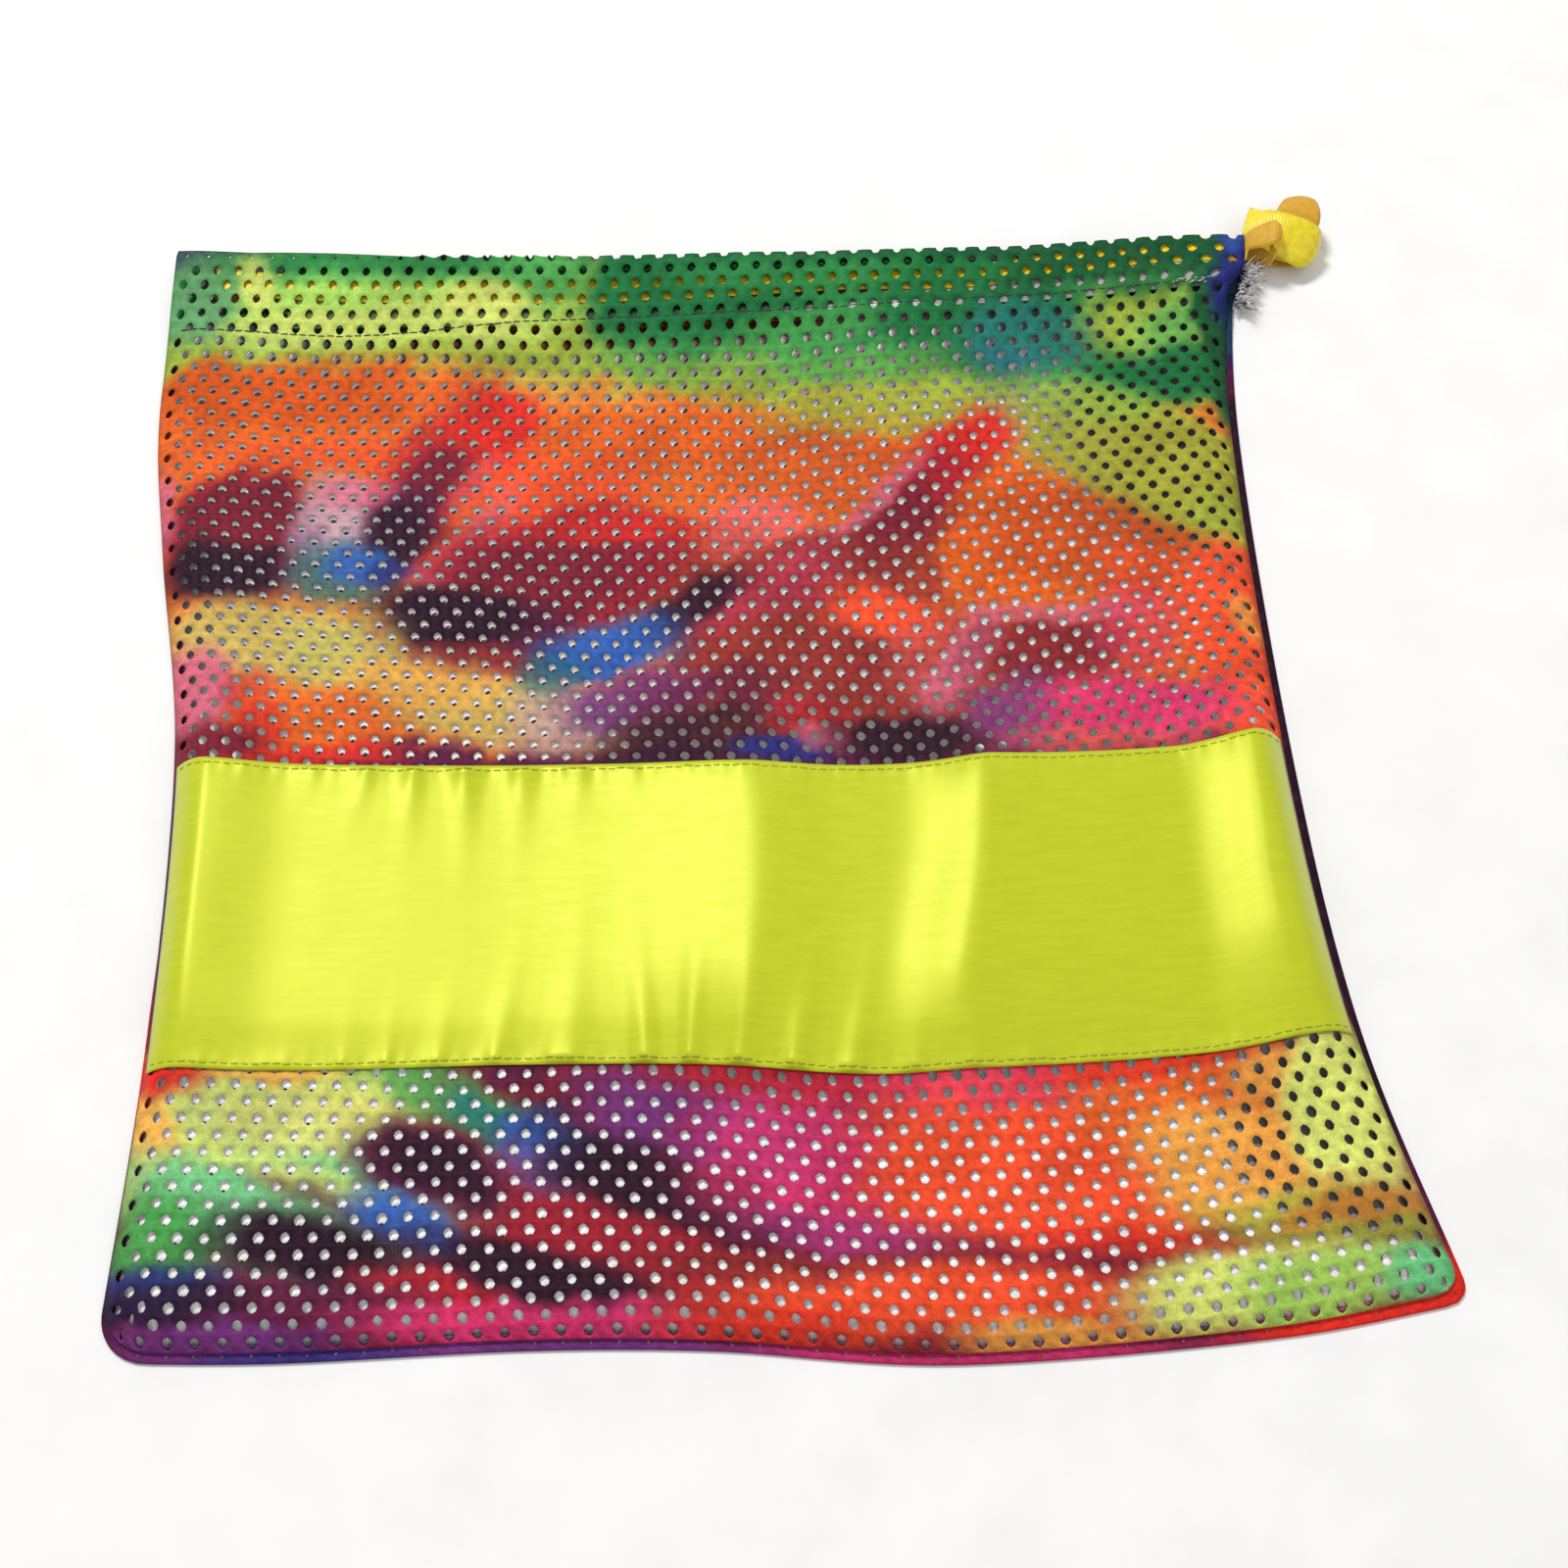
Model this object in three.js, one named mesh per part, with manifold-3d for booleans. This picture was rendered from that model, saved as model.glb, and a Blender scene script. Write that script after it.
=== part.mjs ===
// Drawstring bag of perforated athletic mesh, lying flat on its back panel.
//
// Frame, in millimetres: the origin is on the underside of the back panel, at the middle of the bag.
// +X runs along the mouth towards the drawcord's exit, +Y runs from the bottom seam to the mouth,
// and +Z is up, out of the front panel.

import * as THREE from 'three';
import { mergeVertices } from 'three/addons/utils/BufferGeometryUtils.js';
import Module from 'manifold-3d';

const wasm = await Module();
wasm.setup();

// ---- driving dimensions ------------------------------------------------------------------------

// The outline, seen from above, is four smooth edges. Side edges run from the bottom to the mouth.
const LEFT_EDGE = [[-150, -177], [-146, -101], [-152, -15], [-168, 60], [-175, 162]];
const RIGHT_EDGE = [[174, -164], [155, -95], [148, -12], [146, 97], [150, 167]];
const MOUTH_EDGE = [[-175, 162], [-48, 159], [72, 163], [150, 167]];
const BOTTOM_EDGE = [[-150, -177], [-10, -179], [127, -174], [174, -164]];
const NOMINAL_WIDTH = 330;
const NOMINAL_LENGTH = 340;
const LEFT_CORNER_RADIUS = 16;
const RIGHT_CORNER_RADIUS = 9;

const CLOTH = 1.2;                  // one layer of mesh cloth, as a plain sheet
const BAG_HEIGHT = 13;              // the top of the front panel, where the bag lies relaxed
const MOUTH_LIFT = 6;               // how much higher the front panel stands at the mouth's fold
const LIFT_START = 0.84;            // the panel starts to rise here, as a share of its length
const SEAM_HEIGHT = 3;              // the top of the back panel's rim, at the seam
const SHOULDER = 16;                // how far in from a seam the cloth takes to level out
const BACK_OVERHANG = 2.5;          // how far the back panel rolls out past the front one
const GAP = 0.3;                    // clearance between neighbouring pieces

const CHANNEL_DEPTH_LEFT = 30;      // the drawcord channel, from the mouth's fold to its stitching
const CHANNEL_DEPTH_RIGHT = 18;
const CHANNEL_ROOM = 2;             // the height left for the ribbon inside the channel
const HEM_CLOTH = 1;                // the turned-in layer of the channel
const HEM_START = 0.075;            // the hem leaves the left corner free, where the ribbon turns

const BAND_WIDTH = 88;
const BAND_START = 68;              // from the bottom seam to the band
const BAND_THICKNESS = 0.6;
const BAND_STITCH_INSET = 2;

const THREAD_WIDTH = 0.8;
const THREAD_THICKNESS = 0.5;
const SEAM_THREAD_WIDTH = 1.5;
const SEAM_THREAD_INSET = 0.012;

const RIBBON_WIDTH = 9.5;
const RIBBON_THICKNESS = 0.6;
// How far the ribbon's middle lies from the mouth's fold, from the left corner to the exit.
const RIBBON_DEPTHS = [9, 13.5, 13, 11.5, 10, 9];
const RIBBON_START = 0.053;
const RIBBON_END = 1.021;

const KNOT_CENTRE = [164, 166, 8];
const KNOT_RADII = [8, 8, 7];
const TAIL_THICKNESS = 3;
const TAIL_CORNER = 3;

// ---- the outline and the bag's two surfaces ----------------------------------------------------

function edgeCurve(points) {
  return new THREE.CatmullRomCurve3(points.map(([x, y]) => new THREE.Vector3(x, y, 0)));
}

const leftCurve = edgeCurve(LEFT_EDGE);
const rightCurve = edgeCurve(RIGHT_EDGE);
const mouthCurve = edgeCurve(MOUTH_EDGE);
const bottomCurve = edgeCurve(BOTTOM_EDGE);

// Squeezes the square corner of the grid into a quarter circle of the given radius.
function roundCorner(a, b, radius) {
  if (a >= radius || b >= radius) return [a, b];
  const reach = Math.max(radius - a, radius - b);
  const scale = reach / Math.hypot(radius - a, radius - b);
  return [radius - (radius - a) * scale, radius - (radius - b) * scale];
}

function roundedFractions(u, v) {
  if (u < 0.5) {
    const [a, b] = roundCorner(u * NOMINAL_WIDTH, v * NOMINAL_LENGTH, LEFT_CORNER_RADIUS);
    return [a / NOMINAL_WIDTH, b / NOMINAL_LENGTH];
  }
  const [a, b] = roundCorner((1 - u) * NOMINAL_WIDTH, v * NOMINAL_LENGTH, RIGHT_CORNER_RADIUS);
  return [1 - a / NOMINAL_WIDTH, b / NOMINAL_LENGTH];
}

// A point of the outline's patch: u runs from the left side to the right, v from bottom to mouth.
function place(uGrid, vGrid) {
  const [u, v] = roundedFractions(Math.min(uGrid, 1), vGrid);
  const left = leftCurve.getPointAt(v);
  const right = rightCurve.getPointAt(v);
  const bottom = bottomCurve.getPointAt(u);
  const mouth = mouthCurve.getPointAt(u);
  const mixed = (key) => {
    const corners = (1 - u) * (1 - v) * LEFT_EDGE[0][key] + u * (1 - v) * RIGHT_EDGE[0][key]
      + (1 - u) * v * LEFT_EDGE.at(-1)[key] + u * v * RIGHT_EDGE.at(-1)[key];
    const axis = key === 0 ? 'x' : 'y';
    return (1 - u) * left[axis] + u * right[axis] + (1 - v) * bottom[axis] + v * mouth[axis] - corners;
  };
  const beyond = Math.max(uGrid - 1, 0) * NOMINAL_WIDTH;
  return [mixed(0) + beyond, mixed(1)];
}

// The back panel's patch is the same one, let out all round except at the mouth.
function placeBack(u, v) {
  const [x, y] = place(u, v);
  return [x + BACK_OVERHANG * (2 * u - 1), y - BACK_OVERHANG * (1 - v)];
}

const quarterRound = (distance) => {
  const t = Math.min(Math.max(distance / SHOULDER, 0), 1);
  return Math.sqrt(1 - (1 - t) ** 2);
};

const channelDepth = (u) => CHANNEL_DEPTH_LEFT + (CHANNEL_DEPTH_RIGHT - CHANNEL_DEPTH_LEFT) * u;
const stitchLine = (u) => 1 - channelDepth(u) / NOMINAL_LENGTH;

// 0 at a closed edge, 1 where the cloth has levelled out. The right side is open at the channel.
function level(u, v) {
  const opening = THREE.MathUtils.smoothstep(v, stitchLine(1) - 0.06, stitchLine(1) - 0.015);
  const right = THREE.MathUtils.lerp(quarterRound((1 - u) * NOMINAL_WIDTH), 1, opening);
  return quarterRound(u * NOMINAL_WIDTH) * right * quarterRound(v * NOMINAL_LENGTH);
}

// The mouth stands open in its middle and lies flat at both corners.
const mouthLift = (u, v) => {
  const along = Math.sin(Math.PI * Math.min(Math.max(u, 0), 1));
  return MOUTH_LIFT * along * THREE.MathUtils.smoothstep(v, LIFT_START, 1);
};

const FRONT_RIM = SEAM_HEIGHT + THREAD_THICKNESS + 2 * GAP;
const FRONT_ROOM = BAG_HEIGHT - CLOTH - FRONT_RIM;
const frontUnder = (u, v) => FRONT_RIM + FRONT_ROOM * level(u, v) + mouthLift(u, v);
const frontTop = (u, v) => frontUnder(u, v) + CLOTH;
const backUnder = (u, v) => (SEAM_HEIGHT - CLOTH) * (1 - level(u, v));
const backTop = (u, v) => backUnder(u, v) + CLOTH;

// ---- mesh helpers ------------------------------------------------------------------------------

// Grid lines that gather towards both ends, where the cloth turns down to its seams.
const even = (from, to, count) => (
  Array.from({ length: count + 1 }, (_, i) => from + (to - from) * i / count)
);
const gathered = (count) => even(0, 1, count).map((t) => 0.5 - 0.5 * Math.cos(Math.PI * t));

function toGeometry(positions, indices) {
  const geometry = new THREE.BufferGeometry();
  geometry.setAttribute('position', new THREE.Float32BufferAttribute(positions, 3));
  geometry.setIndex(indices);
  return geometry;
}

// A closed slab over a grid: pointAt(i, j) gives its lower and its upper point.
function slab(columns, rows, pointAt) {
  const positions = [];
  const indices = [];
  const layerSize = columns * rows;
  for (const layer of [0, 1]) {
    for (let j = 0; j < rows; j += 1) {
      for (let i = 0; i < columns; i += 1) positions.push(...pointAt(i, j)[layer]);
    }
  }
  const id = (i, j, layer) => layer * layerSize + j * columns + i;
  const quad = (a, b, c, d) => indices.push(a, b, c, a, c, d);
  for (let j = 0; j + 1 < rows; j += 1) {
    for (let i = 0; i + 1 < columns; i += 1) {
      quad(id(i, j, 1), id(i + 1, j, 1), id(i + 1, j + 1, 1), id(i, j + 1, 1));
      quad(id(i, j, 0), id(i, j + 1, 0), id(i + 1, j + 1, 0), id(i + 1, j, 0));
    }
  }
  for (let i = 0; i + 1 < columns; i += 1) {
    quad(id(i, 0, 0), id(i + 1, 0, 0), id(i + 1, 0, 1), id(i, 0, 1));
    quad(id(i + 1, rows - 1, 0), id(i, rows - 1, 0), id(i, rows - 1, 1), id(i + 1, rows - 1, 1));
  }
  const last = columns - 1;
  for (let j = 0; j + 1 < rows; j += 1) {
    quad(id(0, j + 1, 0), id(0, j, 0), id(0, j, 1), id(0, j + 1, 1));
    quad(id(last, j, 0), id(last, j + 1, 0), id(last, j + 1, 1), id(last, j, 1));
  }
  return toGeometry(positions, indices);
}

// A slab over the bag's patch, between two heights that are functions of (u, v).
function sheet(us, vs, placeAt, low, high) {
  return slab(us.length, vs.length, (i, j) => {
    const [x, y] = placeAt(us[i], vs[j]);
    return [[x, y, low(us[i], vs[j])], [x, y, high(us[i], vs[j])]];
  });
}

// A flat strip between two edges that run side by side, each a list of points.
function stripBetween(nearEdge, farEdge, thickness) {
  const middles = nearEdge.map((near, i) => near.clone().add(farEdge[i]).multiplyScalar(0.5));
  const halfUp = middles.map((middle, i) => {
    const before = middles[Math.max(i - 1, 0)];
    const after = middles[Math.min(i + 1, middles.length - 1)];
    const across = farEdge[i].clone().sub(nearEdge[i]);
    return after.clone().sub(before).cross(across).setLength(thickness / 2);
  });
  return slab(middles.length, 2, (i, j) => {
    const edge = j === 0 ? nearEdge[i] : farEdge[i];
    return [edge.clone().sub(halfUp[i]).toArray(), edge.clone().add(halfUp[i]).toArray()];
  });
}

// A flat strip along a path, its width level and square to the path.
function levelStrip(stops, width, thickness) {
  const toSide = stops.map((stop, i) => {
    const before = stops[Math.max(i - 1, 0)];
    const after = stops[Math.min(i + 1, stops.length - 1)];
    return new THREE.Vector3(before.y - after.y, after.x - before.x, 0).setLength(width / 2);
  });
  const nearEdge = stops.map((stop, i) => stop.clone().sub(toSide[i]));
  const farEdge = stops.map((stop, i) => stop.clone().add(toSide[i]));
  return stripBetween(nearEdge, farEdge, thickness);
}

function toSolid(geometry) {
  const merged = mergeVertices(geometry);
  return new wasm.Manifold(new wasm.Mesh({
    numProp: 3,
    vertProperties: new Float32Array(merged.attributes.position.array),
    triVerts: new Uint32Array(merged.index.array),
  }));
}

function fromSolid(solid) {
  const mesh = solid.getMesh();
  return toGeometry(Array.from(mesh.vertProperties), Array.from(mesh.triVerts));
}

// ---- materials ---------------------------------------------------------------------------------

const meshCloth = new THREE.MeshStandardMaterial({ color: 0xc2503a, roughness: 0.85, metalness: 0 });
const satin = new THREE.MeshStandardMaterial({ color: 0xd8e020, roughness: 0.35, metalness: 0 });
const ribbon = new THREE.MeshStandardMaterial({ color: 0xe0c420, roughness: 0.75, metalness: 0 });
const darkThread = new THREE.MeshStandardMaterial({ color: 0x24402c, roughness: 0.8, metalness: 0 });
const limeThread = new THREE.MeshStandardMaterial({ color: 0xb8c020, roughness: 0.8, metalness: 0 });

const group = new THREE.Group();

function addPiece(name, geometry, material) {
  const mesh = new THREE.Mesh(geometry, material);
  mesh.name = name;
  group.add(mesh);
  return mesh;
}

// ---- the two panels, each with its turned-in drawcord channel ----------------------------------

const PANEL_LINES = gathered(18);
const BAND_LOW = BAND_START / NOMINAL_LENGTH;
const BAND_HIGH = (BAND_START + BAND_WIDTH) / NOMINAL_LENGTH;
// The band's two edges are grid lines of the panel too, so that the band follows the cloth exactly.
const PANEL_ROWS = [...PANEL_LINES, BAND_LOW, BAND_HIGH, LIFT_START].sort((a, b) => a - b);
const BAND_ROWS = PANEL_ROWS.filter((v) => v >= BAND_LOW && v <= BAND_HIGH);
const HEM_COLUMNS = even(HEM_START, 1, 14);
const HEM_ROWS = even(0, 1, 8);

// How far the hem stands off its panel: nothing at the stitching and at the fold, full between.
const hemStandOff = (s) => CHANNEL_ROOM * Math.min(1, 6 * s, 6 * (1 - s));
const hemV = (u, s) => THREE.MathUtils.lerp(stitchLine(u), 1, s);

// direction is -1 for a hem that hangs below its panel and 1 for one that lies on top of it.
function hem(placeAt, panelFace, direction) {
  return slab(HEM_COLUMNS.length, HEM_ROWS.length, (i, j) => {
    const u = HEM_COLUMNS[i];
    const v = hemV(u, HEM_ROWS[j]);
    const [x, y] = placeAt(u, v);
    const standOff = hemStandOff(HEM_ROWS[j]);
    const near = panelFace(u, v) + direction * (standOff - CLOTH / 2 * isJoined(HEM_ROWS[j]));
    const far = panelFace(u, v) + direction * (standOff + HEM_CLOTH);
    return direction > 0 ? [[x, y, near], [x, y, far]] : [[x, y, far], [x, y, near]];
  });
}

// 1 on the hem's first and last rows, which run into the panel so that the two layers join.
function isJoined(s) {
  return s === 0 || s === 1 ? 1 : 0;
}

function panel(placeAt, under, top, hemFace, hemDirection) {
  const outer = toSolid(sheet(PANEL_LINES, PANEL_ROWS, placeAt, under, top));
  const inner = toSolid(hem(placeAt, hemFace, hemDirection));
  return fromSolid(outer.add(inner));
}

addPiece('front_panel', panel(place, frontUnder, frontTop, frontUnder, -1), meshCloth);
addPiece('back_panel', panel(placeBack, backUnder, backTop, backTop, 1), meshCloth);

// ---- the satin band and its two rows of stitching ----------------------------------------------

const bandUnder = (u, v) => frontTop(u, v) + GAP;
const bandTop = (u, v) => bandUnder(u, v) + BAND_THICKNESS;

addPiece('satin_band', sheet(PANEL_LINES, BAND_ROWS, place, bandUnder, bandTop), satin);

// A row of stitching that lies on a surface, along lineV(u).
function stitchRow(us, lineV, placeAt, surface) {
  const stops = us.map((u) => {
    const [x, y] = placeAt(u, lineV(u));
    return new THREE.Vector3(x, y, surface(u, lineV(u)) + GAP + THREAD_THICKNESS);
  });
  return levelStrip(stops, THREAD_WIDTH, THREAD_THICKNESS);
}

const STITCH_COLUMNS = even(0.06, 0.94, 16);
const bandStitchInset = BAND_STITCH_INSET / NOMINAL_LENGTH;
const topLine = () => BAND_HIGH - bandStitchInset;
const bottomLine = () => BAND_LOW + bandStitchInset;

addPiece('band_stitch_top', stitchRow(STITCH_COLUMNS, topLine, place, bandTop), limeThread);
addPiece('band_stitch_bottom', stitchRow(STITCH_COLUMNS, bottomLine, place, bandTop), limeThread);
const frontColumns = even(0.06, 1, 16);
addPiece('channel_stitch_front', stitchRow(frontColumns, stitchLine, place, frontTop), darkThread);

// On the back panel the row is kept on the inside, clear of the ground.
const hemBackTop = (u, v) => backTop(u, v) + HEM_CLOTH;
const backColumns = even(0.08, 1, 16);
addPiece('channel_stitch_back', stitchRow(backColumns, stitchLine, placeBack, hemBackTop), darkThread);

// ---- the seam stitching, held between the two panels' rims -------------------------------------

function seamRow(stopsAt) {
  const stops = stopsAt.map(([u, v]) => {
    const [x, y] = place(u, v);
    return new THREE.Vector3(x, y, SEAM_HEIGHT + GAP + THREAD_THICKNESS / 2);
  });
  return levelStrip(stops, SEAM_THREAD_WIDTH, THREAD_THICKNESS);
}

const SEAM_END = 0.06;
const rightSeamEnd = stitchLine(1) - 0.06;
const leftSeam = even(SEAM_END, 1 - SEAM_END, 12).map((v) => [SEAM_THREAD_INSET, v]);
const rightSeam = even(SEAM_END, rightSeamEnd, 12).map((v) => [1 - SEAM_THREAD_INSET, v]);
const bottomSeam = even(SEAM_END, 1 - SEAM_END, 12).map((u) => [u, SEAM_THREAD_INSET]);

addPiece('left_seam_stitch', seamRow(leftSeam), darkThread);
addPiece('right_seam_stitch', seamRow(rightSeam), darkThread);
addPiece('bottom_seam_stitch', seamRow(bottomSeam), darkThread);

// ---- the ribbon drawcord -----------------------------------------------------------------------

const depthCurve = new THREE.SplineCurve(RIBBON_DEPTHS.map((depth, i) => new THREE.Vector2(i, depth)));
const FRONT_STRAND = BAG_HEIGHT - CLOTH - CHANNEL_ROOM / 2;
const BACK_STRAND = CLOTH + CHANNEL_ROOM / 2;

// One edge of the ribbon: side is -1/2 for the edge towards the bag's bottom, 1/2 for the other.
// It runs along the front channel to the left corner, round a half turn, and back along the rear.
function ribbonEdge(side) {
  const inChannel = (u, height) => {
    const depth = depthCurve.getPoint(Math.min(u, 1)).y - side * RIBBON_WIDTH;
    const v = 1 - depth / NOMINAL_LENGTH;
    const [x, y] = place(u, v);
    return new THREE.Vector3(x, y, height(u, v));
  };
  const us = even(RIBBON_START, RIBBON_END, 18);
  const front = us.map((u) => inChannel(u, (atU, atV) => FRONT_STRAND + mouthLift(atU, atV)));
  const rear = us.map((u) => inChannel(u, () => BACK_STRAND));
  const turnRadius = (front[0].z - rear[0].z) / 2;
  const turn = even(0, Math.PI, 8).slice(1, -1).map((angle) => {
    const offset = new THREE.Vector3(-Math.sin(angle), 0, 1 + Math.cos(angle));
    return rear[0].clone().addScaledVector(offset, turnRadius);
  });
  return [...front.reverse(), ...turn, ...rear];
}

addPiece('drawcord_loop', stripBetween(ribbonEdge(-0.5), ribbonEdge(0.5), RIBBON_THICKNESS), ribbon);

// ---- the knot that joins the ribbon's two ends -------------------------------------------------

const knot = new THREE.SphereGeometry(1, 14, 10);
knot.deleteAttribute('normal');
knot.deleteAttribute('uv');
knot.scale(...KNOT_RADII);
knot.translate(...KNOT_CENTRE);
addPiece('drawcord_knot', mergeVertices(knot), ribbon);

// A ribbon end folded flat: a slab with rounded corners, standing on edge.
function ribbonTail(width, height) {
  const shape = new THREE.Shape();
  const w = width / 2 - TAIL_CORNER;
  const h = height / 2 - TAIL_CORNER;
  shape.absarc(w, h, TAIL_CORNER, 0, Math.PI / 2);
  shape.absarc(-w, h, TAIL_CORNER, Math.PI / 2, Math.PI);
  shape.absarc(-w, -h, TAIL_CORNER, Math.PI, 1.5 * Math.PI);
  shape.absarc(w, -h, TAIL_CORNER, 1.5 * Math.PI, 2 * Math.PI);
  const settings = { depth: TAIL_THICKNESS, bevelEnabled: false, curveSegments: 4 };
  const geometry = new THREE.ExtrudeGeometry(shape, settings);
  geometry.translate(0, 0, -TAIL_THICKNESS / 2);
  geometry.rotateX(Math.PI / 2);
  geometry.deleteAttribute('normal');
  geometry.deleteAttribute('uv');
  return mergeVertices(geometry);
}

const tailFront = addPiece('drawcord_tail_front', ribbonTail(15, 13), ribbon);
tailFront.position.set(173.6, 161.0, 8);
tailFront.rotation.z = THREE.MathUtils.degToRad(38);

const tailRear = addPiece('drawcord_tail_rear', ribbonTail(16, 13), ribbon);
tailRear.position.set(171.1, 172.8, 8.5);
tailRear.rotation.z = THREE.MathUtils.degToRad(-38);

export default group;
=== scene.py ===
"""Looks for the drawstring mesh bag: perforated tie-dye panels, satin band, stitching and ribbon."""

import math

import bpy
import numpy as np
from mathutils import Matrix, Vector


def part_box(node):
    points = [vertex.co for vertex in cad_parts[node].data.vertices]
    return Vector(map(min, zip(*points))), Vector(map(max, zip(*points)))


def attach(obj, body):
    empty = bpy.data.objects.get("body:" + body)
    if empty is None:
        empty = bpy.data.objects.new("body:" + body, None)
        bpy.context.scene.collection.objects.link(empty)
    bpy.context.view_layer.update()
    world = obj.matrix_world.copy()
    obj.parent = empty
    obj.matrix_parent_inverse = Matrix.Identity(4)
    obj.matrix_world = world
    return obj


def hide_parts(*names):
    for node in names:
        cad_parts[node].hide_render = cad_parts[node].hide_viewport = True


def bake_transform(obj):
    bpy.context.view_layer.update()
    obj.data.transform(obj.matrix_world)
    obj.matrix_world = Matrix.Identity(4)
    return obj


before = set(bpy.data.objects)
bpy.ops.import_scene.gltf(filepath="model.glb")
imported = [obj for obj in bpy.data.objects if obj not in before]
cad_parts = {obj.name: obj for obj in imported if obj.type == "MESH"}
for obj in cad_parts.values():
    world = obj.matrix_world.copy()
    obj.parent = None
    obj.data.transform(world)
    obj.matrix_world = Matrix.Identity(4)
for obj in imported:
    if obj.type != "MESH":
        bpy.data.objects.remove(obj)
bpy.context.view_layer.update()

MM = 0.001

# ---- sizes, in metres ----

# Places on the bag are given from a point under its middle, and the knot's folds from the knot's middle.
PANEL_LOW, PANEL_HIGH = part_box("front_panel")
BAG_MIDDLE = np.array([PANEL_LOW[0] + 175 * MM, PANEL_HIGH[1] - 167 * MM, 0])
KNOT_MIDDLE = np.mean(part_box("drawcord_knot"), axis=0)

WIDTH = 330 * MM
LENGTH = 340 * MM
LEFT_CORNER = 12 * MM  # radii of the two bottom corners
RIGHT_CORNER = 6 * MM
SHOULDER = 12 * MM  # how far from a seam the cloth takes to level out
BACK_OVERHANG = 2.5 * MM  # the back panel shows past the front one on the right and below

# The bag's four edges seen from above, in millimetres. Side edges run from the bottom to the mouth.
LEFT_EDGE = [(-150, -180), (-149, -101), (-153.5, -15), (-166, 52), (-173.5, 100), (-175, 162)]
RIGHT_EDGE = [(175, -165), (157, -95), (148.5, -12), (145, 97), (150, 168)]
MOUTH_EDGE = [(-175, 162), (-48, 157.5), (72, 162.5), (108, 165), (150, 168)]
BOTTOM_EDGE = [(-150, -180), (-108, -180), (-50, -177), (-5, -177), (52, -180.3), (127, -174), (175, -165)]

CLOTH = 0.6 * MM  # thickness of the mesh cloth
RIM_HALF = 0.2 * MM  # half of it round the holes, where the cloth thins
COLUMNS = 49  # holes across the bag
ROWS = 79  # rows of holes from the bottom seam to the mouth's fold
HEM_ROWS = 5  # rows in the turned-in layer of the channel
HEM_SPAN = 0.08  # that layer's share of v, past the fold at v = 1
HEM_FIRST_COLUMN = 5  # the turned-in layer leaves the left corner free for the ribbon
HOLE_ACROSS = 1.36 * MM  # half width of a hole
HOLE_ALONG = 0.36  # half height of a hole, as a share of its row
HOLE_SPREAD = 0.08  # how unequal the holes are
HOLE_DRIFT = 0.15 * MM  # how far they stray sideways, and up or down as a share of their row
ROW_DRIFT = 0.04
CLOSED_HOLE = 0.3  # the size left to a hole that a seam draws shut
CHANNEL_LEFT = 30 * MM  # depth of the drawcord channel at its two ends
CHANNEL_RIGHT = 18 * MM
STITCH_SAG = 4 * MM  # the channel's stitching dips this far near the left corner

FRONT_RIM = 1.5 * MM
BACK_RIM = 0.5 * MM
FRONT_LEVEL = 6.4 * MM  # the front cloth's height where the bag lies relaxed
LAYER_GAP = 0.95 * MM  # how close behind it the back cloth lies, middle to middle
MOUTH_LIFT = 4 * MM  # the mouth stands up off the table
BACK_LIFT = 0.5  # the rear edge's share of that
CHANNEL_ROOM = 4.7 * MM  # how far the rear channel drops, to leave room for the front one
REAR_MOUTH_REACH = 3.5 * MM  # the rear fold sits a little further out, under the raised front one
FOLD_RADII = (0.75 * MM, 1.4 * MM)  # the mouth's fold, at its corners and in its middle
HEM_BELLY = 1.5 * MM  # how far the channel's turned-in layer bellies away from the panel
CORNER_REACH = 5 * MM  # the channel's open end sticks out past the right side seam

BAND_BOTTOM = 69 * MM  # the satin band's edges, measured up from the bottom seam
BAND_TOP = 157 * MM
BAND_STANDOFF = 0.75 * MM
SEAM_INSET = 0.004  # the outer seams' distance from the edge, as a share of the bag
BAND_HALF = 0.12 * MM  # half the satin's thickness


# ---- small numeric tools ----

def smoothstep(x, low, high):
    t = np.clip((x - low) / (high - low), 0, 1)
    return t * t * (3 - 2 * t)


def lerp(a, b, t):
    return a + (b - a) * t


def bulge(t):
    """0 at both ends of 0..1, and 1 in the middle."""
    return np.sin(np.pi * np.clip(t, 0, 1))


def unit(vectors):
    return vectors / np.maximum(np.linalg.norm(vectors, axis=1, keepdims=True), 1e-12)


def arc_lengths(points):
    return np.concatenate([[0], np.cumsum(np.linalg.norm(np.diff(points, axis=0), axis=1))])


def catmull_rom(points, count=64):
    """A smooth curve through the points, as count samples for each stretch between two of them."""
    p = np.array(points, float)
    p = np.vstack([2 * p[0] - p[1], p, 2 * p[-1] - p[-2]])
    t = np.linspace(0, 1, count, endpoint=False)[:, None]
    out = []
    for a, b, c, d in zip(p[:-3], p[1:-2], p[2:-1], p[3:]):
        out.append(0.5 * (2 * b + (c - a) * t + (2 * a - 5 * b + 4 * c - d) * t**2
                          + (3 * b - a - 3 * c + d) * t**3))
    return np.vstack(out + [p[-2:-1]])


def by_length(points):
    """A function from 0..1 to a point of the smooth curve, at even speed."""
    samples = catmull_rom(points)
    lengths = arc_lengths(samples)
    lengths /= lengths[-1]
    return lambda t: [np.interp(t, lengths, samples[:, k]) for k in range(samples.shape[1])]


def soft_steps(points):
    """A smooth function of one variable through given (x, value) points."""
    samples = catmull_rom(points)
    return lambda x: np.interp(x, samples[:, 0], samples[:, 1])


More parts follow.
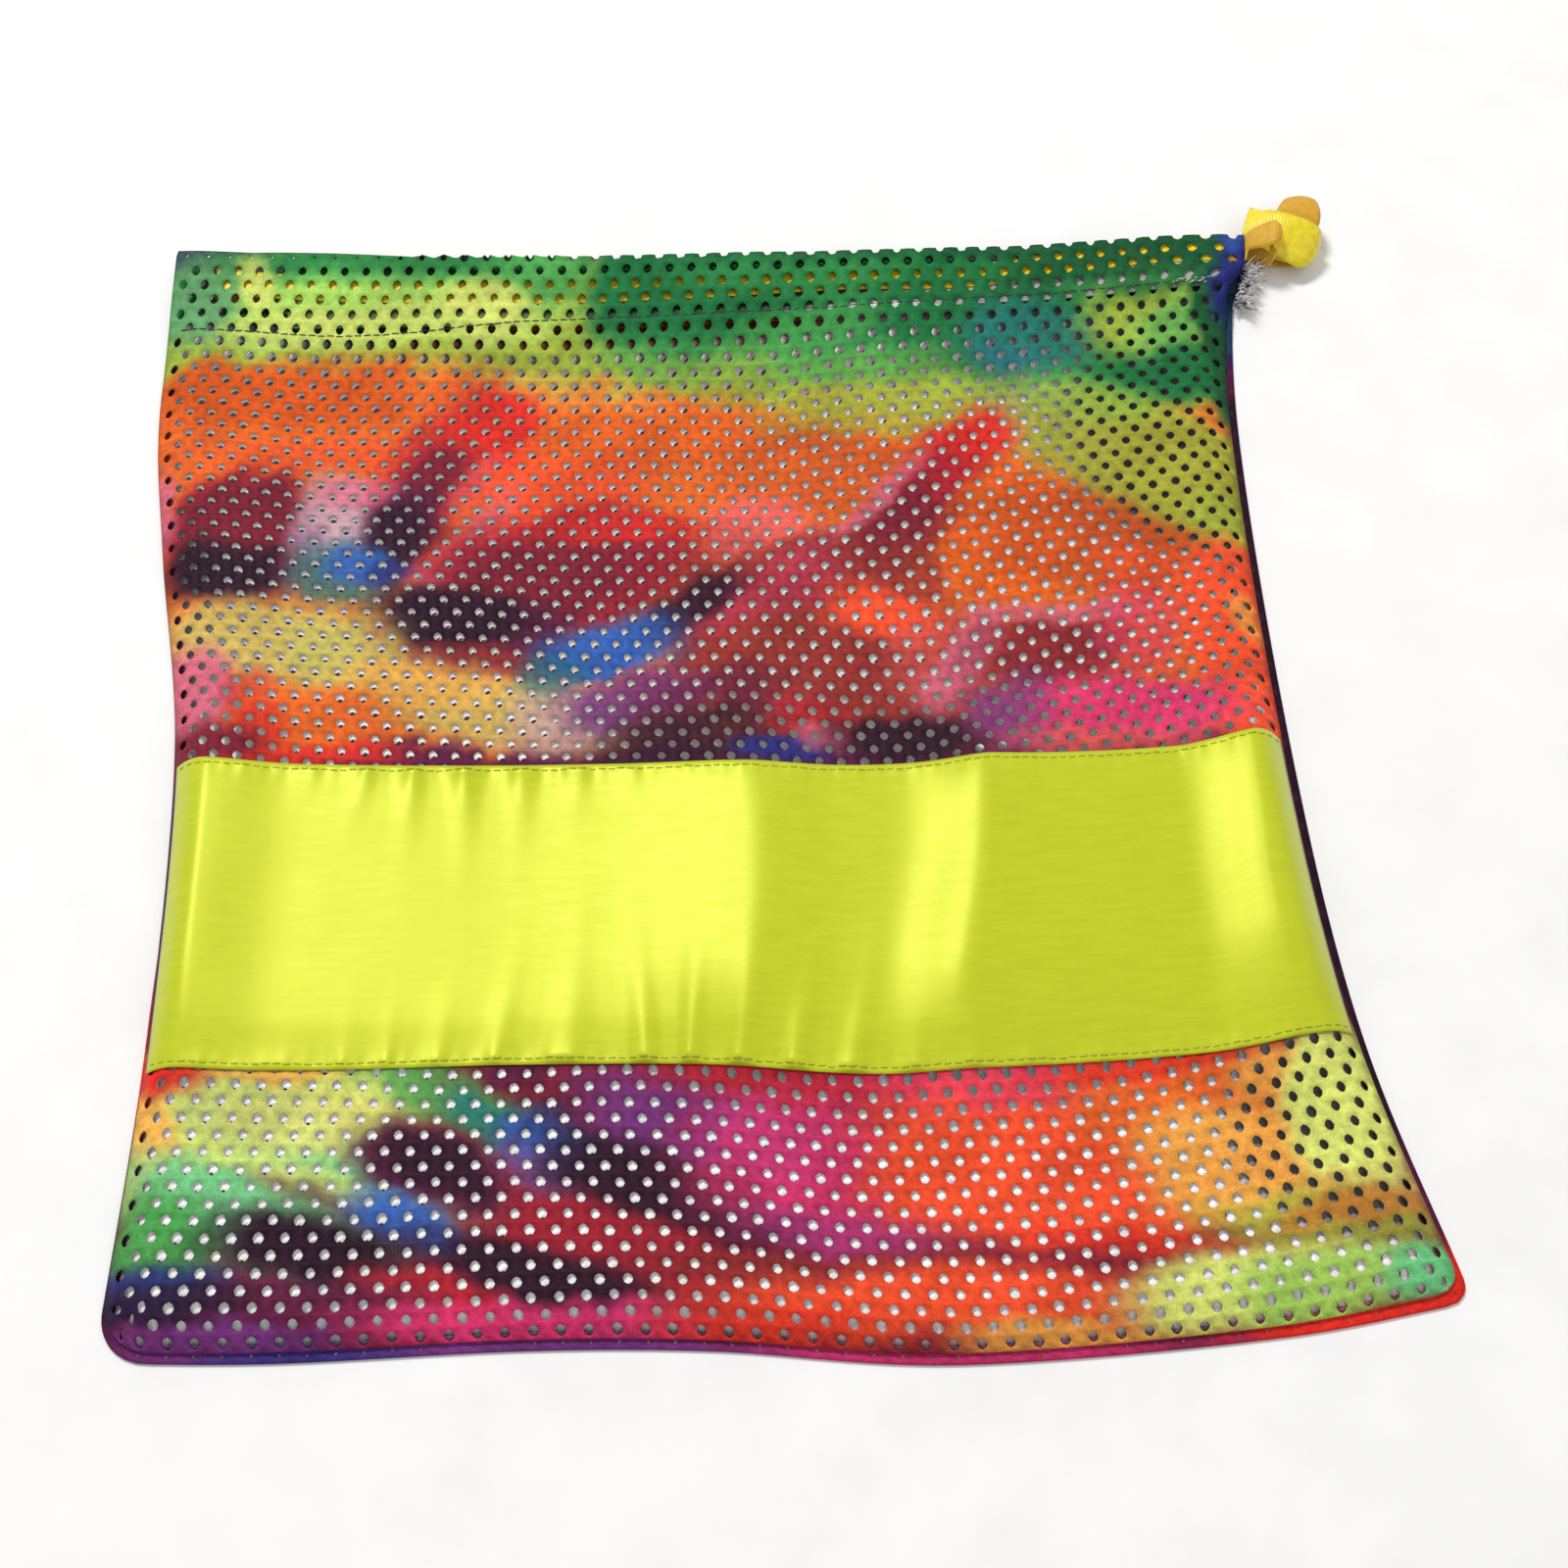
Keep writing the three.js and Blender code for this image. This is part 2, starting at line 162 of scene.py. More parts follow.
class Ripple:
    """Smooth random waves over the plane, the same on every run."""

    def __init__(self, seed, size_x, size_y):
        self.grid = np.random.default_rng(seed).uniform(-1, 1, (64, 64))
        self.size = (size_x, size_y)

    def __call__(self, x, y):
        gx = np.asarray(x) / self.size[0] + 32
        gy = np.asarray(y) / self.size[1] + 32
        ix, iy = np.floor(gx).astype(int), np.floor(gy).astype(int)
        fx, fy = smoothstep(gx - ix, 0, 1), smoothstep(gy - iy, 0, 1)
        g = self.grid
        low = lerp(g[iy % 64, ix % 64], g[iy % 64, (ix + 1) % 64], fx)
        high = lerp(g[(iy + 1) % 64, ix % 64], g[(iy + 1) % 64, (ix + 1) % 64], fx)
        return lerp(low, high, fy)


# ---- the bag's outline and its two surfaces ----

left_edge, right_edge = by_length(LEFT_EDGE), by_length(RIGHT_EDGE)
mouth_edge, bottom_edge = by_length(MOUTH_EDGE), by_length(BOTTOM_EDGE)


def round_corner(a, b, radius):
    """Squeezes the grid's square corner into a quarter circle."""
    inside = (a < radius) & (b < radius)
    da, db = radius - a, radius - b
    scale = np.where(inside, np.maximum(da, db) / np.maximum(np.hypot(da, db), 1e-12), 1)
    return np.where(inside, radius - da * scale, a), np.where(inside, radius - db * scale, b)


def place(u, v):
    """x and y of the patch: u runs from the left side to the right, v from the bottom to the mouth."""
    a, b = round_corner(u * WIDTH, v * LENGTH, LEFT_CORNER)
    c, d = round_corner((1 - u) * WIDTH, v * LENGTH, RIGHT_CORNER)
    left_half = u < 0.5
    u = np.where(left_half, a / WIDTH, 1 - c / WIDTH)
    v = np.where(left_half, b / LENGTH, d / LENGTH)
    left, right, bottom, mouth = left_edge(v), right_edge(v), bottom_edge(u), mouth_edge(u)
    out = []
    for k in (0, 1):
        low, high = [lerp(LEFT_EDGE[end][k], RIGHT_EDGE[end][k], u) for end in (0, -1)]
        out.append((lerp(left[k], right[k], u) + lerp(bottom[k], mouth[k], v) - lerp(low, high, v)) * MM)
    out[0] = out[0] + CORNER_REACH * smoothstep(u, 0.93, 1) * smoothstep(v, 0.935, 0.965)
    return out


def channel_depth(u):
    return lerp(CHANNEL_LEFT, CHANNEL_RIGHT, u)


def stitch_line(u):
    """v of the channel's stitching, which sags near the left corner."""
    return 1 - (channel_depth(u) + STITCH_SAG * bulge(u / 0.36) ** 2) / LENGTH


def shoulder(distance):
    """0 at a seam, rising to 1 where the cloth has levelled out."""
    t = np.clip(distance / SHOULDER, 0, 1)
    return 1 - (1 - t) ** 2.2


def level(u, v, inset=0.0):
    """0 at a closed edge and 1 where the cloth has levelled out. The ribbon holds the channel's ends up."""
    stitch = 1 - CHANNEL_RIGHT / LENGTH
    held = smoothstep(v, stitch - 0.06, stitch)
    right = lerp(shoulder((1 - u) * WIDTH - inset), 1, 0.75 * held)
    left = lerp(shoulder(u * WIDTH - inset / 2), 1, 0.9 * smoothstep(v, 0.86, 0.96))
    return left * right * shoulder(v * LENGTH - inset)


wide_waves = Ripple(3, 62 * MM, 48 * MM)
small_waves = Ripple(8, 21 * MM, 15 * MM)
back_waves = Ripple(5, 50 * MM, 60 * MM)
WIDE_SWELL = 1.4 * MM
SMALL_SWELL = 0.35 * MM

# The satin's soft folds, as heights in millimetres across the bag: slow falls and quick rises.
BAND_FOLDS = [(-156, 1.8), (-150, 2.4), (-142, 2.9), (-136, 2.4), (-120, 0.1), (-105, -0.6), (-80, -1.0),
              (-60, -1.0), (-45, -0.5), (-30, 0.5), (-15, 2.2), (-3, 3.9), (5, 4.5), (14, 3.6), (24, 2.5),
              (38, 2.2), (47, 3.1), (57, 5.5), (62, 6.2), (67, 5.7), (80, 4.1), (100, 2.2), (115, 1.0),
              (121, 1.0), (128, 2.5), (136, 5.0), (141, 5.5), (152, 4.0)]
band_folds = soft_steps(BAND_FOLDS)


def near_band(v):
    return smoothstep(v, 0.13, 0.3) * (1 - smoothstep(v, 0.44, 0.56))


def mouth_lift(u, v):
    along = bulge(np.clip(u, 0, 1) ** 0.75) ** 0.8
    left_end = 0.7 * (1 - smoothstep(u, 0, 0.2)) * smoothstep(v, 0.9, 1)
    right_end = 0.95 * smoothstep(u, 0.6, 0.95) * smoothstep(v, 0.9, 0.98)
    return MOUTH_LIFT * np.maximum(along * smoothstep(v, 0.84, 1), left_end + right_end)


def relaxed(x, y, v):
    """The slow swells that both layers share, calmer near the band."""
    return (WIDE_SWELL * wide_waves(x, y) + SMALL_SWELL * small_waves(x, y)) * (1 - 0.7 * near_band(v))


def front_height(u, v):
    x, y = place(u, v)
    lean = 3 * wide_waves(x, y) + 3.5 * (0.33 - v) / 0.13 * np.exp(-((x / MM - 58) / 25) ** 2)
    waves = relaxed(x, y, v) + (band_folds(x / MM + lean) + 0.6) * MM * near_band(v)
    return FRONT_RIM + (FRONT_LEVEL - FRONT_RIM + waves) * level(u, v) + mouth_lift(u, v)


# Where the two layers lie apart, so that their holes look dark: x, y, half sizes, gap (millimetres).
LAYERS_APART = [(130, 96, 44, 44, 2.2), (150, -122, 34, 30, 1.8), (-158, -10, 26, 60, 1.2),
                (0, 118, 260, 14, 1.0), (150, 20, 20, 60, 1.6)]


def back_height(u, v):
    x, y = place(u, v)
    gap = LAYER_GAP + 0.25 * MM * (back_waves(x, y) + 1)
    for cx, cy, half_x, half_y, more in LAYERS_APART:
        reach = np.hypot((x / MM - cx) / half_x, (y / MM - cy) / half_y)
        gap = gap + more * MM * (1 - smoothstep(reach, 0.4, 1.2))
    settled = level(u, v, 1.6 * BACK_OVERHANG)
    z = BACK_RIM + (FRONT_LEVEL - BACK_RIM - gap + relaxed(x, y, v)) * settled + BACK_LIFT * mouth_lift(u, v)
    return z - CHANNEL_ROOM * settled * smoothstep(v, 0.86, 0.96)


def fold_radius(u):
    return lerp(*FOLD_RADII, bulge(u))


def hem_gap(u, s):
    """How far the channel's turned-in layer stands off the panel, s from the fold to the stitching."""
    s = np.clip(s, 0, 1)
    belly = HEM_BELLY * bulge(s) * bulge(np.clip(u, 0.08, 0.95))
    return lerp(2 * fold_radius(u), CLOTH * 1.1, s) + belly


def fold_in(u, v, height, direction):
    """Heights over the fold: v up to 1 is the panel, and past 1 is the layer turned in behind it."""
    s = np.maximum((v - 1) / HEM_SPAN, 0)
    plan_v = np.where(v > 1, 1 - s * channel_depth(u) / LENGTH, v)
    z = height(u, plan_v)
    radius = fold_radius(u)
    t = np.clip(np.abs(1 - plan_v) * LENGTH / radius, 0, 1)
    turn = radius * (1 - np.sqrt(1 - (1 - t) ** 2))
    outside = z + direction * turn
    inside = z + direction * (hem_gap(u, s) - turn)
    return plan_v, np.where(v > 1, inside, outside)


def front_surface(u, v):
    plan_v, z = fold_in(u, v, front_height, -1)
    x, y = place(u, plan_v)
    return np.stack([x, y, z], -1) + BAG_MIDDLE


def back_surface(u, v):
    plan_v, z = fold_in(u, v, back_height, 1)
    x, y = place(u, plan_v)
    x = x + BACK_OVERHANG * (lerp(-0.1, 1, u) - 0.2 * (1 - u) * smoothstep(plan_v, 0.35, 0.25))
    y = y - BACK_OVERHANG * (1 - np.clip(plan_v, 0, 1))
    y = y + REAR_MOUTH_REACH * bulge(u) ** 0.3 * smoothstep(plan_v, 0.8, 1)
    return np.stack([x, y, z], -1) + BAG_MIDDLE


def normals_of(surface, u, v):
    step = 2e-3
    along = surface(np.clip(u + step, 0, 1), v) - surface(np.clip(u - step, 0, 1), v)
    up = surface(u, v + step) - surface(u, v - step)
    return unit(np.cross(along, up))


# ---- mesh building ----

def add_object(name, data):
    obj = bpy.data.objects.new(name, data)
    bpy.context.scene.collection.objects.link(obj)
    return obj


def new_mesh(name, points, quads, materials, face_material=None):
    """A smooth object from numpy arrays of points and four-sided faces."""
    mesh = bpy.data.meshes.new(name)
    mesh.vertices.add(len(points))
    mesh.vertices.foreach_set("co", np.asarray(points, np.float32).ravel())
    mesh.loops.add(quads.size)
    mesh.loops.foreach_set("vertex_index", quads.astype(np.int32).ravel())
    mesh.polygons.add(len(quads))
    mesh.polygons.foreach_set("loop_start", np.arange(0, quads.size, 4, dtype=np.int32))
    if face_material is not None:
        mesh.polygons.foreach_set("material_index", face_material.astype(np.int32))
    mesh.update(calc_edges=True)
    mesh.validate()
    mesh.polygons.foreach_set("use_smooth", np.ones(len(mesh.polygons), bool))
    for material in materials:
        mesh.materials.append(material)
    return add_object(name, mesh)


def cloth_coordinates(obj, along, across, copies=2):
    """Stores where each point lies on the flat cloth, for the weave to follow."""
    flat = np.stack([along, across, np.zeros(len(along))], -1)
    attribute = obj.data.attributes.new("cloth", "FLOAT_VECTOR", "POINT")
    attribute.data.foreach_set("vector", np.tile(flat, (copies, 1)).astype(np.float32).ravel())


def store_dye_and_painted_shade(obj, colours):
    # the colours hold the painted shade on the wrong side as well as the print
    attribute = obj.data.attributes.new("dye", "FLOAT_COLOR", "POINT")
    rgba = np.ones((len(colours), 4), np.float32)
    rgba[:, :3] = colours
    attribute.data.foreach_set("color", rgba.ravel())


def grid_quads(rows, columns):
    index = np.arange(rows * columns).reshape(rows, columns)
    return np.stack([index[:-1, :-1], index[:-1, 1:], index[1:, 1:], index[1:, :-1]], -1).reshape(-1, 4)


def thicken(points, normals, half, quads):
    """Gives a sheet its thickness: two faces, and a wall along every open edge, holes included."""
    count = len(points)
    both = np.vstack([points + normals * half[:, None], points - normals * half[:, None]])
    edges = np.stack([quads, np.roll(quads, -1, axis=1)], -1).reshape(-1, 2)
    key = np.sort(edges, axis=1) @ np.array([count, 1])
    _, first, times = np.unique(key, return_index=True, return_counts=True)
    open_edges = edges[first[times == 1]]
    a, b = open_edges[:, 0], open_edges[:, 1]
    walls = np.stack([b, a, a + count, b + count], -1)
    faces = np.vstack([quads, quads[:, ::-1] + count, walls])
    side = np.concatenate([np.zeros(len(quads)), np.ones(len(quads)), np.zeros(len(walls))])
    return both, faces, side


def row_positions():
    """v of each row line: closer together at the bottom seam, further apart over the raised mouth."""
    t = (np.arange(ROWS) + 0.5) / ROWS
    pitch = lerp(0.8, 1, smoothstep(t, 0, 0.06)) * lerp(1, 1.3, smoothstep(t, 0.86, 0.93))
    outer = np.concatenate([[0], np.cumsum(pitch) / pitch.sum()])
    return np.concatenate([outer, 1 + HEM_SPAN * (np.arange(HEM_ROWS) + 1) / HEM_ROWS])


# The nodes round one cell of the lattice, in half columns and half rows from its low left corner.
AROUND_CELL = [(2, 1), (2, 2), (1, 2), (0, 2), (0, 1), (0, 0), (1, 0), (2, 0)]


def lattice(closed_rows):
    """The perforated cloth as a flat pattern: nodes in (u, v), quads, and which nodes rim a hole.

    The holes of closed_rows are drawn nearly shut by the seam beside them.
    """
    rows = ROWS + HEM_ROWS
    half_columns = 2 * COLUMNS + 1
    grid_u, grid_row = np.meshgrid(np.arange(half_columns) / (2 * COLUMNS), np.arange(2 * rows + 1) / 2)
    next_node = ring_base = grid_u.size

    def node(k, j):
        """A grid node, k half columns across and j half rows up."""
        return j * half_columns + k

    rng = np.random.default_rng(11)
    us, row_marks, quads = [grid_u.ravel()], [grid_row.ravel()], []
    angles = np.arange(8) * math.pi / 4
    squeeze = np.where(np.arange(8) % 2 == 1, 0.94, 1.0)
    for j in range(rows):
        odd = j % 2
        first = HEM_FIRST_COLUMN if j >= ROWS else 0
        cells = np.arange(first, COLUMNS - odd)
        left = 2 * cells + odd
        ring = np.stack([node(left + k, 2 * j + i) for k, i in AROUND_CELL], -1)
        size = (1 + rng.uniform(-HOLE_SPREAD, HOLE_SPREAD, (len(cells), 1))) * squeeze
        if j in (ROWS - 1, ROWS):
            size = size * lerp(0.25, 1, smoothstep(cells, 8, 14))[:, None]
        if j in closed_rows:
            size = size * CLOSED_HOLE
        drift = rng.uniform(-1, 1, (2, len(cells), 1))
        hole_u = ((left + 1) / (2 * COLUMNS))[:, None] + drift[0] * HOLE_DRIFT / WIDTH
        us.append((hole_u + np.cos(angles) * size * HOLE_ACROSS / WIDTH).ravel())
        row_marks.append((j + 0.5 + drift[1] * ROW_DRIFT + np.sin(angles) * size * HOLE_ALONG).ravel())
        hole = next_node + np.arange(len(cells) * 8).reshape(-1, 8)
        next_node += hole.size
        for i in range(8):
            n = (i + 1) % 8
            quads.append(np.stack([ring[:, i], ring[:, n], hole[:, n], hole[:, i]], -1))
        if odd:
            for k in ([0] if not first else []) + [2 * COLUMNS - 1]:
                quads.append(np.array([[node(k, i), node(k + 1, i), node(k + 1, i + 1), node(k, i + 1)]
                                       for i in (2 * j, 2 * j + 1)]))
    u, quads = np.concatenate(us), np.vstack(quads)
    v = np.interp(np.concatenate(row_marks), np.arange(rows + 1), row_positions())
    rim = np.arange(len(u)) >= ring_base
    used, compact = np.unique(quads, return_inverse=True)
    return u[used], v[used], compact.reshape(-1, 4), rim[used]


# ---- the tie-dye print ----

def linear(rgb):
    """A screen colour, 0 to 255, as linear light."""
    c = np.array(rgb, float) / 255
    return np.where(c <= 0.04045, c / 12.92, ((c + 0.055) / 1.055) ** 2.4)


OLIVE, LEAF, PALE_LEAF, LIME = (146, 164, 54), (66, 148, 70), (150, 192, 84), (202, 208, 104)
FOREST, PINE, TEAL, MINT = (20, 102, 52), (14, 80, 42), (26, 108, 106), (104, 186, 122)
SKY, NAVY, VIOLET, LILAC = (46, 90, 168), (34, 40, 112), (104, 44, 112), (188, 152, 164)
ORANGE, EMBER, RUST, AMBER = (216, 96, 30), (204, 80, 16), (184, 74, 26), (226, 160, 68)
SCARLET, RED, CRIMSON, SALMON = (228, 74, 38), (208, 38, 28), (172, 28, 42), (214, 88, 84)
MAROON, BROWN, PLUM, INK = (116, 24, 42), (136, 42, 38), (82, 20, 56), (38, 12, 32)
MAGENTA, PINK, TAN, YELLOW = (206, 48, 104), (204, 98, 122), (190, 164, 84), (228, 208, 106)

# Each dab of dye: x, y, half length, half width (millimetres), tilt (degrees), colour, strength.
FRONT_DABS = [
    (0, 122, 260, 34, 0, OLIVE, 1), (0, 46, 260, 62, 0, ORANGE, 1), (0, -150, 260, 62, 0, MAROON, 1),
    # the green end
    (-120, 140, 70, 17, 0, PALE_LEAF, 1), (-110, 131, 46, 7, 0, LIME, 0.75),
    (-168, 146, 15, 22, 0, TEAL, 0.5), (-106, 157, 52, 10, 0, LEAF, 0.95),
    (-98, 159, 60, 8, 0, FOREST, 0.65), (-80, 139, 14, 7, 0, LIME, 0.8), (-147, 148, 5, 11, 20, LIME, 0.8),
    (-62, 149, 15, 9, -20, LEAF, 0.9), (-16, 143, 30, 23, -8, FOREST, 1), (36, 142, 60, 22, 0, FOREST, 1),
    (0, 163, 74, 6, 0, PINE, 0.8), (-14, 118, 28, 8, -8, LEAF, 0.6), (30, 150, 44, 8, 0, LEAF, 0.35),
    (18, 128, 24, 8, 20, LEAF, 0.75), (78, 146, 32, 16, 0, FOREST, 0.9), (82, 118, 30, 15, -10, FOREST, 0.8),
    (86, 126, 19, 13, 0, TEAL, 0.8), (80, 117, 10, 6, 0, SKY, 0.25), (120, 155, 40, 10, 4, PINE, 0.95),
    (128, 113, 28, 12, 14, FOREST, 1), (127, 131, 14, 7, 42, PALE_LEAF, 0.7),
    (132, 134, 12, 7, 30, LEAF, 0.6), (146, 128, 8, 34, 0, PINE, 0.95), (118, 148, 24, 3, 12, LEAF, 0.35),
    (34, 108, 50, 9, -4, OLIVE, 0.8), (34, 117, 26, 8, 0, LEAF, 0.75), (102, 106, 18, 8, -20, LEAF, 0.7),
    (110, 167, 62, 8, 4, PINE, 1), (151, 154, 7, 17, 0, NAVY, 1), (151, 167, 5, 5, 0, SKY, 0.6),
    # the orange belt
    (-124, 95, 58, 24, 0, ORANGE, 1), (-138, 106, 36, 10, 0, EMBER, 1), (-118, 84, 40, 7, 0, SCARLET, 0.5),
    (-50, 106, 28, 7, -6, AMBER, 0.45), (-52, 73, 24, 14, 0, SCARLET, 0.85),
    (-26, 90, 34, 12, 0, EMBER, 0.5), (44, 97, 34, 7, 0, OLIVE, 0.7), (20, 78, 28, 14, 0, RUST, 0.55),
    (4, 54, 16, 13, 20, SALMON, 0.9), (88, 96, 18, 12, 0, LILAC, 0.3), (118, 82, 42, 21, -26, OLIVE, 0.85),
    (138, 58, 14, 10, -40, OLIVE, 0.6), (100, 52, 34, 17, -18, RUST, 1), (76, 56, 16, 26, 0, EMBER, 0.5),
    (140, 20, 14, 36, 0, SCARLET, 0.95), (120, 40, 20, 11, -12, SCARLET, 0.5),
    (143, 28, 4, 9, 0, AMBER, 0.7),
    # the two slanting streaks
    (-90, 74, 33, 14, 62, CRIMSON, 0.9), (-74, 93, 14, 13, 62, RED, 1), (-90, 73, 15, 9, 62, MAROON, 1),
    (-98, 57, 14, 12, 62, PLUM, 1), (-98, 54, 11, 10, 60, INK, 0.85), (-77, 72, 12, 4, 60, SALMON, 0.5),
    (60, 80, 22, 10, 50, CRIMSON, 1), (69, 90, 11, 10, 45, RED, 0.9), (44, 56, 19, 12, 46, MAROON, 0.95),
    (30, 58, 30, 3.5, 48, PINK, 0.8), (50, 40, 9, 12, 0, BROWN, 0.8),
    # purple and black on the left
    (-144, 56, 19, 23, 0, CRIMSON, 0.8), (-144, 60, 17, 17, 0, MAROON, 1), (-144, 42, 16, 11, -6, INK, 1),
    (-168, 66, 6, 15, 10, PINK, 0.9), (-118, 60, 11, 15, 0, LILAC, 0.95), (-112, 70, 12, 5, 0, PINK, 0.7),
    (-124, 47, 6, 12, 0, VIOLET, 0.35), (-112, 41, 15, 11, -10, TEAL, 0.75), (-108, 45, 10, 7, 0, SKY, 0.9),
    (-97, 41, 8, 5, 20, NAVY, 0.8),
    # the plum patch in the middle
    (-84, 42, 30, 5, 57, PINK, 0.75), (-50, 42, 38, 21, 10, CRIMSON, 0.95), (-58, 40, 27, 16, 14, MAROON, 1),
    (-30, 36, 17, 13, 30, MAROON, 0.6), (-36, 56, 26, 5, 0, RED, 0.6), (-70, 18, 28, 12, 0, PLUM, 0.95),
    (-82, 24, 21, 10, -6, INK, 1), (-82, 12, 24, 4, -4, BROWN, 0.8),
    # pale yellow and orange under it
    (-130, 18, 32, 13, -6, TAN, 1), (-106, 12, 22, 8, -20, LIME, 0.4), (-66, -4, 40, 10, -8, TAN, 0.95),
    (-88, 4, 20, 6, -10, AMBER, 0.6), (-46, -8, 15, 10, 0, LILAC, 0.6), (-151, 2, 11, 14, 0, PINK, 0.95),
    (-136, 2, 9, 7, -20, CRIMSON, 0.5), (-114, -8, 22, 11, 0, ORANGE, 1), (-130, -10, 8, 9, 20, RED, 0.7),
    (-142, -17, 15, 8, 0, MAROON, 1), (-112, -19, 24, 3.5, 0, RED, 0.75),
    # reds, purples and black to the right of it
    (14, 22, 34, 30, 20, BROWN, 0.95), (8, 34, 24, 8, 30, MAGENTA, 0.35), (-12, 28, 17, 6, 40, INK, 0.9),
    (42, 4, 24, 22, 0, BROWN, 0.9), (40, 26, 17, 9, -22, SCARLET, 0.95), (50, 14, 12, 10, 50, SALMON, 0.55),
    (-36, 14, 21, 9, 12, SKY, 1), (-52, 7, 9, 7, 0, TEAL, 0.5), (-28, -3, 20, 8, 14, VIOLET, 0.85),
    (-8, -4, 22, 9, 20, PLUM, 0.6), (-10, -16, 26, 9, 6, INK, 0.8), (20, -8, 12, 8, 0, CRIMSON, 0.6),
    (12, -20, 12, 4, 0, NAVY, 0.9), (22, -15, 7, 5, 0, PINK, 0.7), (47, -14, 21, 8, 3, INK, 0.95),
    (62, 13, 18, 6, 62, PINK, 0.9), (86, 14, 22, 12, 0, MAROON, 0.85), (88, 27, 24, 3.5, 0, PINK, 0.7),
    (112, 22, 13, 13, 0, MAGENTA, 0.5), (76, -6, 13, 12, 20, VIOLET, 0.85),
    (108, -4, 26, 10, 0, MAGENTA, 0.95), (100, -16, 28, 6, 0, SALMON, 0.6),
    # below the band, left
    (-122, -120, 44, 18, 0, LIME, 1), (-147, -126, 11, 20, 0, AMBER, 0.9),
    (-112, -109, 26, 4, 0, AMBER, 0.8), (-142, -110, 11, 6, 0, RED, 1), (-96, -132, 36, 9, -22, MINT, 1),
    (-72, -118, 26, 8, -28, LEAF, 0.8), (-120, -148, 36, 11, -20, MINT, 0.95),
    (-138, -155, 14, 11, -20, LEAF, 0.95), (-104, -136, 30, 3, -22, LIME, 0.6),
    (-110, -123, 22, 7, -12, YELLOW, 0.75), (-30, -113, 36, 8, -4, MAROON, 0.95),
    (-54, -111, 9, 5, 0, PLUM, 0.9), (10, -113, 34, 9, 0, CRIMSON, 0.8),
    (-8, -126, 30, 10, -14, VIOLET, 0.9), (-62, -125, 13, 5, -28, TEAL, 0.8),
    (-47, -131, 14, 8, -18, SKY, 1), (-24, -152, 60, 14, -14, CRIMSON, 0.5),
    (-74, -136, 20, 8, -20, PLUM, 1), (-72, -136, 15, 6, -20, INK, 0.85), (-14, -141, 36, 8, -22, INK, 0.95),
    (-80, -149, 15, 6, -28, SKY, 0.95), (-104, -156, 24, 9, -12, INK, 1), (-46, -163, 32, 7, -16, INK, 0.95),
    (-74, -168, 20, 6, -12, CRIMSON, 0.9), (-100, -171, 26, 7, 0, PLUM, 0.9),
    (-142, -167, 20, 7, 0, NAVY, 0.9), (-136, -170, 22, 5, 0, INK, 0.7), (-46, -174, 44, 5, 0, MAGENTA, 0.9),
    (-126, -179, 34, 4, 0, VIOLET, 0.95),
    # below the band, right
    (22, -138, 34, 18, -12, MAGENTA, 0.75), (30, -152, 30, 5, -8, VIOLET, 0.4),
    (82, -132, 48, 24, 0, SCARLET, 1), (68, -113, 34, 8, 0, MAGENTA, 0.55),
    (112, -118, 30, 15, 0, ORANGE, 0.85), (136, -112, 10, 8, 0, AMBER, 0.8), (104, -108, 26, 4, 6, RED, 0.7),
    (30, -161, 44, 4, -3, BROWN, 0.85), (48, -170, 54, 9, 0, SCARLET, 1), (8, -174, 22, 5, 0, RED, 0.5),
    (126, -136, 26, 15, -6, AMBER, 0.9), (153, -118, 15, 21, 0, LIME, 1), (162, -136, 9, 9, 0, LIME, 0.6),
    (100, -155, 30, 3, -4, RED, 0.6), (148, -150, 32, 9, 0, OLIVE, 0.75), (152, -146, 20, 4, 12, RUST, 0.5),
    (124, -166, 28, 8, 6, LIME, 1), (146, -165, 24, 7, 8, PALE_LEAF, 0.9), (168, -162, 13, 6, 10, MINT, 1),
    (82, -178, 26, 4, 4, AMBER, 0.85),
]

BACK_DABS = [
    (0, 0, 320, 320, 0, PLUM, 1), (0, 158, 240, 32, 0, FOREST, 1), (40, 170, 200, 12, 0, PINE, 0.8),
    (-60, 110, 110, 26, 12, ORANGE, 0.9), (70, 70, 80, 34, -14, MAROON, 0.9), (148, 20, 22, 90, 0, INK, 0.9),
    (150, 150, 16, 30, 0, NAVY, 0.6), (-120, 40, 60, 30, 10, VIOLET, 0.8),
    (-40, 0, 90, 30, -10, SCARLET, 0.8), (60, -30, 60, 30, 20, YELLOW, 0.7),
    (-150, -95, 20, 26, 0, RED, 0.95), (150, -80, 22, 50, 0, INK, 0.9), (-60, -70, 60, 24, 12, MINT, 0.8),
    (40, -110, 70, 26, -8, SKY, 0.7), (-120, -150, 60, 18, 8, INK, 0.8), (-60, -180, 90, 9, 0, VIOLET, 0.95),
    (-100, -183, 24, 8, 0, NAVY, 0.7), (160, -168, 44, 16, 10, RED, 1), (60, -180, 60, 9, 0, MAGENTA, 0.8),
]

dye_warp = (Ripple(21, 24 * MM, 16 * MM), Ripple(22, 24 * MM, 16 * MM))
dye_curl = (Ripple(23, 6 * MM, 6 * MM), Ripple(24, 6 * MM, 6 * MM))
dye_streaks = Ripple(25, 15 * MM, 2.6 * MM)
dye_mottle = Ripple(26, 13 * MM, 9 * MM)
STREAK_TILT = math.radians(52)
SQUARENESS = 2.7  # 2 would draw the dabs as ellipses, and more draws them as boxes
FEATHER = 0.09  # how far the streaks push a dab's rim, as a share of its size
BLEED = 5  # width of a dab's soft rim in millimetres
MOST_BLEED = 0.42  # the largest share of a dab that the rim takes


def turned(x, y, angle):
    """Distances along and across the direction at that angle."""
    c, s = math.cos(angle), math.sin(angle)
    return x * c + y * s, y * c - x * s


